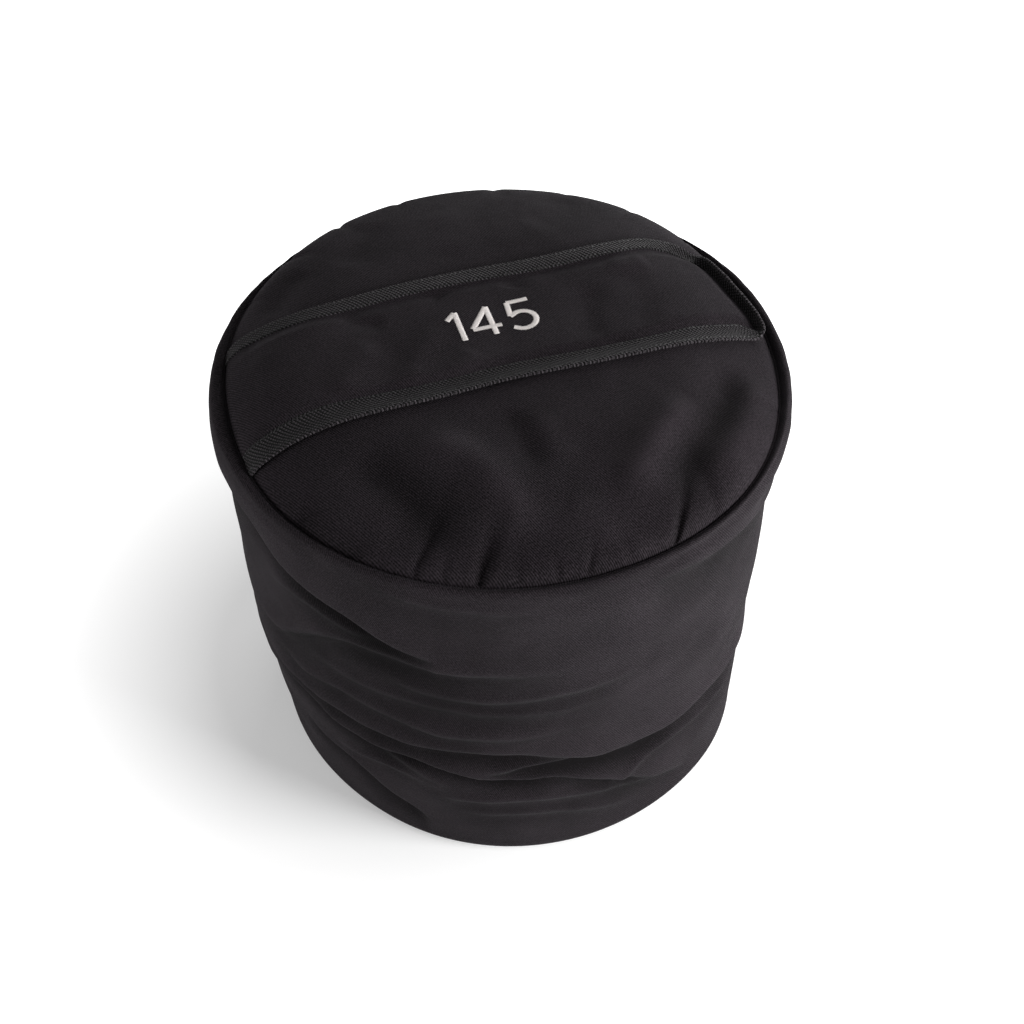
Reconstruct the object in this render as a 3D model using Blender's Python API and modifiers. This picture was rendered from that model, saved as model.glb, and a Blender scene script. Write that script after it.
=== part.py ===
"""Strongman sandbag trainer: a round bag of heavy cloth, zipped across the top under a cover
flap, with a sand-filled liner inside it whose pouring spout lies folded below the zip.

Metres, +Z up. The origin is on the floor at the middle of the bag. +X runs along the zip and
the flap, towards the flap's free end."""

import math

import bmesh
import bpy
from mathutils import Vector

# Outer bag. The seam joins the top panels to the side wall.
SEAM_RADIUS = 0.195
SEAM_HEIGHT = 0.335
CROWN_HEIGHT = 0.031
CROWN_POWER = 3.5
PLATEAU_HEIGHT = 0.023
RIM_OVERHANG = 0.009
RIM_RISE = 0.005
BELLY_OVERHANG = 0.005
BASE_EDGE_INSET = 0.006
BASE_SEAM_INSET = 0.009
WALL_FLOOR_GAP = 0.0008
CLOTH = 0.002
SEAM_ALLOWANCE = 0.012
SKIRT_FILLET = 0.0015

# Folds in the side wall: how far each stands out along its crest and draws in along its hollow,
# and how far these lie above and below the fold's own line
SWAG_RISE = 0.003
SWAG_DRAW = 0.003
SWAG_CREST_LIFT = 0.004
SWAG_HOLLOW_DROP = 0.008

# Tape bound over the raw edges inside the bag, and over the flap's edges
BINDING_TAPE = 0.001
SEAM_BINDING_DEPTH = 0.006
FLAP_BINDING_WIDTH = 0.018

# Gap that touching pieces keep
CLEARANCE = 0.0003

# Cover flap. Its left end is sewn into the seam, and it folds along a straight line near there.
FLAP_FRONT_Y = -0.045
FLAP_BACK_Y = 0.071
FLAP_END_INSET = 0.0035
FOLD_INSET = 0.023
FOLD_GAP = 0.0006

# Hook-and-loop strips under the flap, one each side of the zip
LOOP_THICKNESS = 0.002
HOOK_THICKNESS = 0.0015
STRIP_FROM_SLOT = 0.004
STRIP_FROM_BINDING = 0.005
STRIP_END_INSET = 0.012

# Zip
SLOT_WIDTH = 0.022
SLOT_END_MARGIN = 0.006
TAPE_WIDTH = 0.016
TAPE_THICKNESS = 0.0008
TAPE_END_INSET = 0.012
CHAIN_END_MARGIN = 0.007
TOOTH_PITCH = 0.005
TOOTH_LENGTH = 0.0026
TOOTH_REACH = 0.0019
SPINE_WIDTH = 0.002
TOOTH_THICKNESS = 0.0018
STOP_LENGTH = 0.003

# Slider and pull
SLIDER_LENGTH = 0.015
SLIDER_WIDTH = 0.0132
SLIDER_CORNER = 0.0025
PLATE_THICKNESS = 0.0012
PLATE_GAP = 0.0004
POST_LENGTH = 0.003
POST_WIDTH = 0.0009
POST_CLEARANCE = 0.00025
BRIDGE_LENGTH = 0.010
BRIDGE_WIDTH = 0.0024
BRIDGE_LEG = 0.0014
BRIDGE_BAR = 0.0009
PULL_THICKNESS = 0.001
PULL_SWING_GAP = 0.0003
PULL_LENGTH = 0.027
PULL_WIDTH = 0.009
PULL_ARM = 0.0018
PULL_WINDOW = 0.008
PULL_CORNER = 0.002

# Liner bag, its pouring spout and the sand
LINER = 0.001
LINER_CLEARANCE = 0.0006
LINER_BASE_INSET = 0.012
LINER_SHOULDER_INSET = 0.014
NECK_RADIUS = 0.045
NECK_HEIGHT = 0.002
RECESS_MARGIN = 0.013
RECESS_SLOPE = 0.012
SPOUT_LENGTH = 0.100
SPOUT_WIDTH = 0.090
SPOUT_CLOTH = 0.0014
SPOUT_FOLD_GAP = 0.0005
SPOUT_STRIP = 0.0012
SPOUT_STRIP_WIDTH = 0.020

# Counts and working values
FULL_TURN = 360
TURN_STEPS = 40
CROWN_STEPS = 6
ARC_STEPS = 4
MERGE_DISTANCE = 0.0001
OVERRUN = 0.010

# The side wall's outer line: share of the seam's height, and share of the way from the base
# edge out to the belly.
WALL_SHAPE_SHARES = (
    (0.94, 1.15),
    (0.87, 0.97),
    (0.68, 1.00),
    (0.53, 1.00),
    (0.39, 0.72),
    (0.24, 0.38),
    (0.12, 0.15),
)

# The folds that run round the side wall, from the top one down: angle in degrees from +X, share
# of the seam's height, and share of the fold's full depth. The upright seam at the back keeps the
# cloth flat, so that they fade out there.
WALL_SWAG_SHARES = (
    (
        (5, 0.82, 0.6), (30, 0.78, 1), (58, 0.735, 1), (81, 0.75, 0), (108, 0.75, 0),
        (125, 0.83, 0.6), (145, 0.87, 0.6), (170, 0.895, 0.7), (197, 0.91, 0.9), (216, 0.85, 1),
        (233, 0.765, 0.9), (248, 0.78, 0.3), (268, 0.86, 0.2), (290, 0.90, 0.4),
        (308, 0.89, 0.6), (330, 0.835, 0.6),
    ),
    (
        (40, 0.635, 0.6), (62, 0.60, 1), (81, 0.595, 0), (108, 0.595, 0), (125, 0.62, 1),
        (150, 0.64, 0.5), (180, 0.625, 0.3), (207, 0.595, 1), (228, 0.597, 1),
        (256, 0.582, 0.8), (300, 0.567, 0.3), (350, 0.582, 0.3),
    ),
    (
        (10, 0.382, 0.8), (40, 0.418, 1), (70, 0.40, 1), (81, 0.40, 0), (108, 0.40, 0),
        (117, 0.415, 1), (135, 0.44, 0.8), (170, 0.447, 0.4), (201, 0.442, 0.9),
        (224, 0.472, 1), (245, 0.448, 1), (265, 0.448, 1), (288, 0.40, 1), (304, 0.364, 1),
        (318, 0.34, 0.9), (350, 0.373, 0.5),
    ),
    (
        (15, 0.24, 0.8), (50, 0.21, 1), (70, 0.22, 1), (81, 0.225, 0), (108, 0.225, 0),
        (125, 0.263, 1), (160, 0.334, 0.6), (199, 0.346, 0.9), (216, 0.331, 1),
        (242, 0.325, 1), (256, 0.304, 0.9), (275, 0.269, 0.6), (294, 0.254, 0.6),
        (320, 0.24, 0.6), (345, 0.21, 0.6),
    ),
)

# Sizes and places worked out from those above. The crown has a flat middle, which lets the zip
# run straight.
RIM_RADIUS = SEAM_RADIUS + RIM_OVERHANG
BELLY_RADIUS = SEAM_RADIUS + BELLY_OVERHANG
BASE_EDGE_RADIUS = SEAM_RADIUS - BASE_EDGE_INSET
BASE_SEAM_RADIUS = BASE_EDGE_RADIUS - BASE_SEAM_INSET
FOLD_DISTANCE = SEAM_RADIUS - FOLD_INSET
ZIP_Y = (FLAP_FRONT_Y + FLAP_BACK_Y) / 2
PLATEAU_RADIUS = SEAM_RADIUS * (1 - PLATEAU_HEIGHT / CROWN_HEIGHT) ** (1 / CROWN_POWER)
PLATEAU_Z = SEAM_HEIGHT + PLATEAU_HEIGHT
TAPE_TOP_Z = PLATEAU_Z - CLOTH - CLEARANCE
TAPE_BOTTOM_Z = TAPE_TOP_Z - TAPE_THICKNESS
TOOTH_BOTTOM_Z = TAPE_TOP_Z + CLEARANCE
TOOTH_TOP_Z = TOOTH_BOTTOM_Z + TOOTH_THICKNESS
CHANNEL_TOP_Z = TOOTH_TOP_Z + PLATE_GAP
PLATE_TOP_Z = CHANNEL_TOP_Z + PLATE_THICKNESS
CHANNEL_BOTTOM_Z = TAPE_BOTTOM_Z - PLATE_GAP
SLIDER_BOTTOM_Z = CHANNEL_BOTTOM_Z - PLATE_THICKNESS
PULL_AXIS_Z = PLATE_TOP_Z + PULL_THICKNESS / 2 + PULL_SWING_GAP
BRIDGE_BAR_Z = PULL_AXIS_Z + PULL_THICKNESS / 2 + PULL_SWING_GAP
BRIDGE_TOP_Z = BRIDGE_BAR_Z + BRIDGE_BAR

TOOTH_TIP_Y = POST_WIDTH / 2 + POST_CLEARANCE
SPINE_Y = TOOTH_TIP_Y + TOOTH_REACH
CHAIN_HALF_WIDTH = SPINE_Y + SPINE_WIDTH
CHAIN_RIGHT = PLATEAU_RADIUS - CHAIN_END_MARGIN
CHAIN_LEFT = PULL_LENGTH - PLATEAU_RADIUS
SLIDER_X = CHAIN_RIGHT - SLIDER_LENGTH / 2

CLOSURE_HEIGHT = LOOP_THICKNESS + HOOK_THICKNESS + 3 * CLEARANCE
FLAP_LIFT = max(CLOSURE_HEIGHT, BRIDGE_TOP_Z + CLEARANCE - PLATEAU_Z)
FLAP_END_RADIUS = SEAM_RADIUS - FLAP_END_INSET - CLEARANCE - BINDING_TAPE
LOOP_END_RADIUS = SEAM_RADIUS - STRIP_END_INSET
HOOK_END_RADIUS = FLAP_END_RADIUS - FLAP_BINDING_WIDTH - CLEARANCE

SPOUT_CLOSURE_GAP = 2 * SPOUT_STRIP + 3 * CLEARANCE
SPOUT_TOP_Z = SLIDER_BOTTOM_Z - LINER_CLEARANCE
SPOUT_BOTTOM_Z = SPOUT_TOP_Z - 3 * SPOUT_CLOTH - SPOUT_FOLD_GAP - SPOUT_CLOSURE_GAP
LINER_FLOOR_Z = SPOUT_BOTTOM_Z - CLEARANCE - NECK_HEIGHT
LINER_DEPTH = PLATEAU_Z - SLIDER_BOTTOM_Z + LINER_CLEARANCE
LINER_BASE_RADIUS = BASE_SEAM_RADIUS - LINER_BASE_INSET
LINER_SHOULDER_RADIUS = SEAM_RADIUS - LINER_SHOULDER_INSET
RECESS_RADIUS = math.hypot(SPOUT_LENGTH, SPOUT_WIDTH) / 2 + RECESS_MARGIN


def clear_scene():
    for obj in list(bpy.data.objects):
        bpy.data.objects.remove(obj, do_unlink=True)


def new_collection(name):
    collection = bpy.data.collections.new(name)
    bpy.context.scene.collection.children.link(collection)
    return collection


def new_material(name, colour, roughness, metallic=0.0):
    material = bpy.data.materials.new(name)
    material.use_nodes = True
    shader = material.node_tree.nodes["Principled BSDF"]
    shader.inputs["Base Color"].default_value = (*colour, 1.0)
    shader.inputs["Roughness"].default_value = roughness
    shader.inputs["Metallic"].default_value = metallic
    return material


clear_scene()
parts = new_collection("sandbag_trainer")
cutters = new_collection("cutters")

shell_cloth = new_material("shell_cloth", (0.022, 0.020, 0.023), 0.85)
binding_cloth = new_material("binding_cloth", (0.030, 0.028, 0.030), 0.8)
zip_cloth = new_material("zip_cloth", (0.020, 0.020, 0.022), 0.85)
zip_plastic = new_material("zip_plastic", (0.015, 0.015, 0.016), 0.45)
slider_metal = new_material("slider_metal", (0.060, 0.060, 0.065), 0.35, 0.9)
closure_nylon = new_material("closure_nylon", (0.080, 0.078, 0.080), 0.9)
liner_cloth = new_material("liner_cloth", (0.300, 0.300, 0.290), 0.7)
dry_sand = new_material("dry_sand", (0.450, 0.350, 0.220), 0.95)


def add_part(name, data, material):
    data.materials.append(material)
    part = bpy.data.objects.new(name, data)
    parts.objects.link(part)
    return part


def add_cutter(name, mesh):
    cutter = bpy.data.objects.new(name, mesh)
    cutter.hide_render = True
    cutter.display_type = "WIRE"
    cutters.objects.link(cutter)
    return cutter


def box_mesh(name, low, high):
    """A box between two opposite corners."""
    mesh = bpy.data.meshes.new(name)
    shape = bmesh.new()
    bmesh.ops.create_cube(shape, size=1)
    low = Vector(low)
    size = Vector(high) - low
    for vertex in shape.verts:
        share = vertex.co + Vector((0.5, 0.5, 0.5))
        vertex.co = low + Vector(a * b for a, b in zip(share, size))
    shape.to_mesh(mesh)
    shape.free()
    return mesh


def line_mesh(name, line):
    """An open line of (radius, height) points in the XZ plane, ready to be turned about Z."""
    mesh = bpy.data.meshes.new(name)
    points = [(radius, 0, height) for radius, height in line]
    mesh.from_pydata(points, [(i, i + 1) for i in range(len(points) - 1)], [])
    return mesh


def turn(obj, angle=2 * math.pi, steps=TURN_STEPS):
    screw = obj.modifiers.new("turn", "SCREW")
    screw.angle = angle
    screw.steps = steps
    screw.render_steps = steps
    screw.use_merge_vertices = True
    screw.merge_threshold = MERGE_DISTANCE


def thicken(obj, thickness, offset=-1):
    solidify = obj.modifiers.new("thickness", "SOLIDIFY")
    solidify.thickness = thickness
    solidify.offset = offset
    solidify.use_even_offset = True


def boolean(obj, cutter, operation):
    modifier = obj.modifiers.new(cutter.name, "BOOLEAN")
    modifier.operation = operation
    modifier.solver = "EXACT"
    modifier.object = cutter


def turned_shell(name, line, thickness, material):
    """Cloth turned about Z. The line is its outer face, and the cloth lies inside of it."""
    shell = add_part(name, line_mesh(name, line), material)
    turn(shell)
    thicken(shell, thickness)
    return shell


def flat_part(name, outline, bottom, thickness, material):
    """A flat outline of (x, y) points, as thick as given above its bottom."""
    curve = bpy.data.curves.new(name, "CURVE")
    curve.dimensions = "2D"
    curve.fill_mode = "BOTH"
    curve.extrude = thickness / 2
    spline = curve.splines.new("POLY")
    spline.points.add(len(outline) - 1)
    for point, (x, y) in zip(spline.points, outline):
        point.co = (x, y, 0, 1)
    spline.use_cyclic_u = True
    part = add_part(name, curve, material)
    part.location.z = bottom + thickness / 2
    return part


def arc(centre, radius, start, end, steps=ARC_STEPS):
    """Points on an arc, with its angles in degrees."""
    points = []
    for step in range(steps + 1):
        angle = math.radians(start + (end - start) * step / steps)
        points.append((centre[0] + radius * math.cos(angle), centre[1] + radius * math.sin(angle)))
    return points


def inset(line, distance):
    """The line moved to its inner side by a distance, with mitred corners."""
    normals = []
    for (r0, z0), (r1, z1) in zip(line, line[1:]):
        length = math.hypot(r1 - r0, z1 - z0)
        normals.append(((z0 - z1) / length, (r1 - r0) / length))
    moved = []
    for index, (radius, height) in enumerate(line):
        before = normals[max(index - 1, 0)]
        after = normals[min(index, len(normals) - 1)]
        sum_r = before[0] + after[0]
        sum_z = before[1] + after[1]
        scale = 2 * distance / (sum_r ** 2 + sum_z ** 2)
        moved.append((radius - scale * sum_r, height - scale * sum_z))
    return moved


def crown_height(radius):
    """Height of the top's outer face above the seam."""
    return min(PLATEAU_HEIGHT, CROWN_HEIGHT * (1 - (radius / SEAM_RADIUS) ** CROWN_POWER))


def crown_slope(radius):
    return CROWN_HEIGHT * CROWN_POWER * (radius / SEAM_RADIUS) ** (CROWN_POWER - 1) / SEAM_RADIUS


def crown_line(lift, end_radius, end_lift=None):
    """A line this far above the top's outer face, from the middle out to a radius. Where an
    end lift is given, the line comes down to it between the fold and the seam."""
    end_slope = math.atan(crown_slope(end_radius))
    last = end_radius - lift * math.sin(end_slope)
    line = [(0, PLATEAU_Z + lift)]
    for step in range(CROWN_STEPS + 1):
        radius = PLATEAU_RADIUS + (last - PLATEAU_RADIUS) * step / CROWN_STEPS
        here = lift
        if end_lift is not None and radius > FOLD_DISTANCE:
            here += (end_lift - lift) * (radius - FOLD_DISTANCE) / (last - FOLD_DISTANCE)
        slope = math.atan(crown_slope(radius)) if step else 0
        height = SEAM_HEIGHT + crown_height(radius)
        line.append((radius + here * math.sin(slope), height + here * math.cos(slope)))
    return line


def crown_piece(name, lift, thickness, end_radius, material, end_lift=None):
    """Cloth that lies over the crown, its lower face this far above the top panels."""
    top_end = None if end_lift is None else end_lift + thickness
    line = crown_line(lift + thickness, end_radius, top_end)
    return turned_shell(name, line, thickness, material)


def keep_between(obj, x_from, x_to, y_from, y_to):
    """Keeps the part of a crown piece inside a rectangle seen from above."""
    name = obj.name + "_bounds"
    low = (x_from, y_from, SEAM_HEIGHT - SEAM_ALLOWANCE - OVERRUN)
    high = (x_to, y_to, PLATEAU_Z + CROWN_HEIGHT)
    boolean(obj, add_cutter(name, box_mesh(name, low, high)), "INTERSECT")


def bevel_edges(mesh, width, choose):
    """Rounds the edges of a mesh that a test picks."""
    shape = bmesh.new()
    shape.from_mesh(mesh)
    edges = [edge for edge in shape.edges if choose(edge)]
    bmesh.ops.bevel(shape, geom=edges, offset=width, segments=3, profile=0.5, affect="EDGES")
    shape.to_mesh(mesh)
    shape.free()


def is_upright(edge):
    low, high = (vertex.co for vertex in edge.verts)
    return abs(low.x - high.x) + abs(low.y - high.y) < MERGE_DISTANCE


# Side wall: one length of cloth round the bag, rolled over at the rim and under at the base.
# Its raw edges turn in beside those of the top and the base.
SEAM_FACE = SEAM_RADIUS + CLEARANCE / 2
BASE_FACE = BASE_SEAM_RADIUS + CLEARANCE / 2
RIM_ROLL = (RIM_RADIUS - SEAM_FACE) / 2
BASE_ROLL = (BASE_EDGE_RADIUS - BASE_FACE) / 2


def wall_side_line():
    """The wall's outer line without its folds, between the rim's roll and the base's roll, from
    the top down."""
    spread = BELLY_RADIUS - BASE_EDGE_RADIUS
    return [
        (BASE_EDGE_RADIUS + spread * out_share, SEAM_HEIGHT * height_share)
        for height_share, out_share in WALL_SHAPE_SHARES
    ]


def side_radius(height):
    """How far out the wall's side line stands at a height."""
    line = wall_side_line()
    for (upper_r, upper_z), (lower_r, lower_z) in zip(line, line[1:]):
        if height >= lower_z:
            return lower_r + (upper_r - lower_r) * (height - lower_z) / (upper_z - lower_z)
    return line[-1][0]


def swag_shares(swag, degrees):
    """The height and depth shares of a fold at an angle, straight between the points given."""
    first_angle, *first = swag[0]
    last_angle, *last = swag[-1]
    points = [(last_angle - FULL_TURN, *last), *swag, (first_angle + FULL_TURN, *first)]
    for (start, *before), (end, *after) in zip(points, points[1:]):
        if degrees <= end:
            share = (degrees - start) / (end - start)
            return [a + (b - a) * share for a, b in zip(before, after)]


def folded_side_line(degrees):
    """The wall's side line at an angle, with a crest and a hollow for each fold and a plain
    point above it."""
    top, *_, bottom = wall_side_line()
    line = [top]
    for swag in WALL_SWAG_SHARES:
        height_share, depth_share = swag_shares(swag, degrees)
        crest = SEAM_HEIGHT * height_share + SWAG_CREST_LIFT
        hollow = SEAM_HEIGHT * height_share - SWAG_HOLLOW_DROP
        plain = (line[-1][1] + crest) / 2
        line.append((side_radius(plain), plain))
        line.append((side_radius(crest) + SWAG_RISE * depth_share, crest))
        line.append((side_radius(hollow) - SWAG_DRAW * depth_share, hollow))
    line.append(bottom)
    return line


def side_wall():
    """Cloth through the wall's outer lines at even steps round the bag."""
    rim_centre = (SEAM_FACE + RIM_ROLL, SEAM_HEIGHT + RIM_RISE - RIM_ROLL)
    base_centre = (BASE_FACE + BASE_ROLL, WALL_FLOOR_GAP + BASE_ROLL)
    points = []
    for step in range(TURN_STEPS):
        degrees = FULL_TURN * step / TURN_STEPS
        line = [(SEAM_FACE, SEAM_HEIGHT - SEAM_ALLOWANCE)]
        line += arc(rim_centre, RIM_ROLL, 180, 0)
        line += folded_side_line(degrees)
        line += arc(base_centre, BASE_ROLL, 0, -180)
        line.append((BASE_FACE, SEAM_ALLOWANCE))
        turned = math.radians(degrees)
        points += [(r * math.cos(turned), r * math.sin(turned), z) for r, z in line]
    count = len(line)
    faces = []
    for step in range(TURN_STEPS):
        here = step * count
        beside = (step + 1) % TURN_STEPS * count
        faces += [(here + i, here + i + 1, beside + i + 1, beside + i) for i in range(count - 1)]
    mesh = bpy.data.meshes.new("side_wall")
    mesh.from_pydata(points, [], faces)
    wall = add_part("side_wall", mesh, shell_cloth)
    thicken(wall, CLOTH)
    return wall


def side_seam_binding():
    """The tape over the wall's one upright seam, inside the bag at the back."""
    quarter_turn = FULL_TURN / 4
    line = inset(folded_side_line(quarter_turn), CLOTH + CLEARANCE)
    strip = add_part("side_seam_binding", line_mesh("side_seam_binding", line), binding_cloth)
    step = 2 * math.pi / TURN_STEPS
    turn(strip, angle=step, steps=1)
    thicken(strip, BINDING_TAPE)
    strip.rotation_euler.z = math.pi / 2 - step / 2
    # A whole number of wall facets puts the strip squarely against one of them.
    strip.rotation_euler.z = step * round(strip.rotation_euler.z / step)
    return strip


# Base: a flat disc that the bag stands on, with its edge turned up inside the wall's.
def base_panel():
    edge = BASE_SEAM_RADIUS - CLEARANCE / 2
    line = [(edge, SEAM_ALLOWANCE)]
    line += arc((edge - CLOTH - SKIRT_FILLET, CLOTH + SKIRT_FILLET), CLOTH + SKIRT_FILLET, 0, -90)
    line.append((0, 0))
    return turned_shell("base_panel", line, CLOTH, shell_cloth)


def seam_binding(name, seam_radius, raw_edge_height, side):
    """Tape folded round a seam's two raw edges. side is 1 where they point up, -1 down."""
    reach = CLOTH + CLEARANCE / 2 + CLEARANCE + BINDING_TAPE
    closed_end = raw_edge_height + side * (CLEARANCE + BINDING_TAPE)
    open_end = closed_end - side * SEAM_BINDING_DEPTH
    line = [
        (seam_radius - reach, open_end),
        (seam_radius - reach, closed_end),
        (seam_radius + reach, closed_end),
        (seam_radius + reach, open_end),
    ]
    return turned_shell(name, line[::side], BINDING_TAPE, binding_cloth)


# Top: two crowned panels, front and back, sewn to the zip. Their round edge turns down into
# the seam.
def top_panel(name, side):
    edge = SEAM_RADIUS - CLEARANCE / 2
    line = crown_line(0, edge - SKIRT_FILLET)
    line.append((edge, line[-1][1] - 2 * SKIRT_FILLET))
    line.append((edge, SEAM_HEIGHT - SEAM_ALLOWANCE))
    panel = turned_shell(name, line, CLOTH, shell_cloth)
    inner = ZIP_Y + side * CLEARANCE / 2
    outer = side * (SEAM_RADIUS + OVERRUN)
    keep_between(panel, -SEAM_RADIUS - OVERRUN, SEAM_RADIUS + OVERRUN, min(inner, outer), max(inner, outer))
    slot = box_mesh(
        name + "_slot",
        (CHAIN_LEFT - STOP_LENGTH - SLOT_END_MARGIN, ZIP_Y - SLOT_WIDTH / 2, SEAM_HEIGHT),
        (CHAIN_RIGHT + STOP_LENGTH + SLOT_END_MARGIN, ZIP_Y + SLOT_WIDTH / 2, PLATEAU_Z + OVERRUN),
    )
    boolean(panel, add_cutter(name + "_slot", slot), "DIFFERENCE")
    return panel


# Zip: a tape sewn under each panel's edge, with its row of moulded teeth along it.
def zip_tape(name, side):
    tape = crown_piece(
        name, -CLOTH - CLEARANCE - TAPE_THICKNESS, TAPE_THICKNESS, SEAM_RADIUS - TAPE_END_INSET, zip_cloth
    )
    inner = ZIP_Y + side * SPINE_Y
    outer = inner + side * TAPE_WIDTH
    keep_between(tape, -SEAM_RADIUS, SEAM_RADIUS, min(inner, outer), max(inner, outer))
    return tape


def zip_teeth(name, side):
    """One row of teeth on its spine. The two rows are half a pitch apart."""
    back_edge = ZIP_Y + side * CHAIN_HALF_WIDTH
    root = ZIP_Y + side * SPINE_Y
    tip = ZIP_Y + side * TOOTH_TIP_Y
    count = int((CHAIN_RIGHT - CHAIN_LEFT) / TOOTH_PITCH) - 1
    first = CHAIN_LEFT + TOOTH_PITCH * (3 - side) / 4
    outline = [(CHAIN_LEFT, root)]
    for tooth in range(count):
        start = first + tooth * TOOTH_PITCH
        end = start + TOOTH_LENGTH
        outline += [(start, root), (start, tip), (end, tip), (end, root)]
    outline += [(CHAIN_RIGHT, root), (CHAIN_RIGHT, back_edge), (CHAIN_LEFT, back_edge)]
    return flat_part(name, outline, TOOTH_BOTTOM_Z, TOOTH_THICKNESS, zip_plastic)


def zip_stop(name, x_from, y_from, y_to):
    low = (x_from, y_from, TOOTH_BOTTOM_Z)
    high = (x_from + STOP_LENGTH, y_to, TOOTH_TOP_Z)
    return add_part(name, box_mesh(name, low, high), zip_plastic)


def zip_stops():
    left = CHAIN_LEFT - CLEARANCE - STOP_LENGTH
    right = CHAIN_RIGHT + CLEARANCE
    zip_stop("zip_bottom_stop", left, ZIP_Y - CHAIN_HALF_WIDTH, ZIP_Y + CHAIN_HALF_WIDTH)
    zip_stop("zip_top_stop_front", right, ZIP_Y - CHAIN_HALF_WIDTH, ZIP_Y - TOOTH_TIP_Y)
    zip_stop("zip_top_stop_back", right, ZIP_Y + TOOTH_TIP_Y, ZIP_Y + CHAIN_HALF_WIDTH)


# Slider: two plates joined by a post that runs between the rows of teeth, with a bridge on
# top that holds the pull. Its origin is on the pull's axis.
def slider_box(name, x_from, x_to, y_from, y_to, z_from, z_to):
    low = (x_from, y_from, z_from - PULL_AXIS_Z)
    high = (x_to, y_to, z_to - PULL_AXIS_Z)
    return box_mesh(name, low, high)


def slider_cutter(name, mesh, slider):
    cutter = add_cutter(name, mesh)
    cutter.parent = slider
    return cutter


def zip_slider():
    half = SLIDER_LENGTH / 2
    side = SLIDER_WIDTH / 2
    body = slider_box("zip_slider", -half, half, -side, side, SLIDER_BOTTOM_Z, PLATE_TOP_Z)
    bevel_edges(body, SLIDER_CORNER, is_upright)
    slider = add_part("zip_slider", body, slider_metal)
    slider.location = (SLIDER_X, ZIP_Y, PULL_AXIS_Z)
    channel = CHAIN_HALF_WIDTH + PLATE_GAP
    over = half + OVERRUN
    post_edge = POST_WIDTH / 2
    cuts = {
        "channel_front": (-over, over, -channel, -post_edge, CHANNEL_BOTTOM_Z, CHANNEL_TOP_Z),
        "channel_back": (-over, over, post_edge, channel, CHANNEL_BOTTOM_Z, CHANNEL_TOP_Z),
        "channel_tail": (-over, half - POST_LENGTH, -side / 2, side / 2, CHANNEL_BOTTOM_Z, CHANNEL_TOP_Z),
        "tape_slot": (-over, over, -side - OVERRUN, -post_edge, CHANNEL_BOTTOM_Z, TAPE_TOP_Z + PLATE_GAP),
        "tape_slot_back": (-over, over, post_edge, side + OVERRUN, CHANNEL_BOTTOM_Z, TAPE_TOP_Z + PLATE_GAP),
    }
    for name, limits in cuts.items():
        boolean(slider, slider_cutter(name, slider_box(name, *limits), slider), "DIFFERENCE")
    reach = BRIDGE_LENGTH / 2
    width = BRIDGE_WIDTH / 2
    arch = slider_box("bridge", -reach, reach, -width, width, PLATE_TOP_Z - PLATE_THICKNESS / 2, BRIDGE_TOP_Z)
    boolean(slider, slider_cutter("bridge", arch, slider), "UNION")
    gap = reach - BRIDGE_LEG
    under = slider_box("bridge_gap", -gap, gap, -side, side, PLATE_TOP_Z, BRIDGE_BAR_Z)
    boolean(slider, slider_cutter("bridge_gap", under, slider), "DIFFERENCE")
    return slider


def zip_pull(slider):
    """A flat tab with a window at one end. The bar beyond the window turns under the bridge."""
    half = PULL_WIDTH / 2
    bar = PULL_THICKNESS / 2
    inner = half - PULL_ARM
    far = bar - PULL_LENGTH
    body = box_mesh("zip_pull", (far, -half, -bar), (bar, half, bar))
    bevel_edges(body, PULL_CORNER, lambda edge: is_upright(edge) and edge.verts[0].co.x < 0)
    pull = add_part("zip_pull", body, slider_metal)
    pull.parent = slider
    low = (-bar - PULL_WINDOW, -inner, -bar - OVERRUN)
    window = slider_cutter("pull_window", box_mesh("pull_window", low, (-bar, inner, bar + OVERRUN)), slider)
    boolean(pull, window, "DIFFERENCE")
    return pull


# Cover flap: cloth over the zip, bound along its three free edges and turning about the fold.
# Its sewn end runs on from the fold into the seam.
FLAP_TOP_LIFT = FLAP_LIFT + CLOTH + CLEARANCE + BINDING_TAPE


def hinge_height():
    """The height of the bound flap's highest point along the fold."""
    slope = math.atan(crown_slope(FOLD_DISTANCE))
    return SEAM_HEIGHT + crown_height(FOLD_DISTANCE) + FLAP_TOP_LIFT / math.cos(slope)


def flap_hinge():
    hinge = bpy.data.objects.new("flap_hinge", None)
    hinge.location = (-FOLD_DISTANCE, ZIP_Y, hinge_height())
    parts.objects.link(hinge)
    return hinge


def carry(obj, hinge):
    """Hangs a piece that is modelled in its closed place on the hinge."""
    obj.parent = hinge
    obj.location = -hinge.location


def flap(hinge):
    cover = crown_piece("flap", FLAP_LIFT, CLOTH, FLAP_END_RADIUS, shell_cloth)
    keep_between(cover, -FOLD_DISTANCE, SEAM_RADIUS, FLAP_FRONT_Y, FLAP_BACK_Y)
    carry(cover, hinge)
    return cover


def flap_core(grow):
    """The flap's space grown by a clearance, which the binding is cut clear of."""
    thickness = CLOTH + 2 * grow
    line = crown_line(FLAP_LIFT - grow + thickness, FLAP_END_RADIUS + grow)
    core = add_cutter("flap_core", line_mesh("flap_core", line))
    turn(core)
    thicken(core, thickness)
    keep_between(core, -SEAM_RADIUS, SEAM_RADIUS, FLAP_FRONT_Y - grow, FLAP_BACK_Y + grow)
    return core


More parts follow.
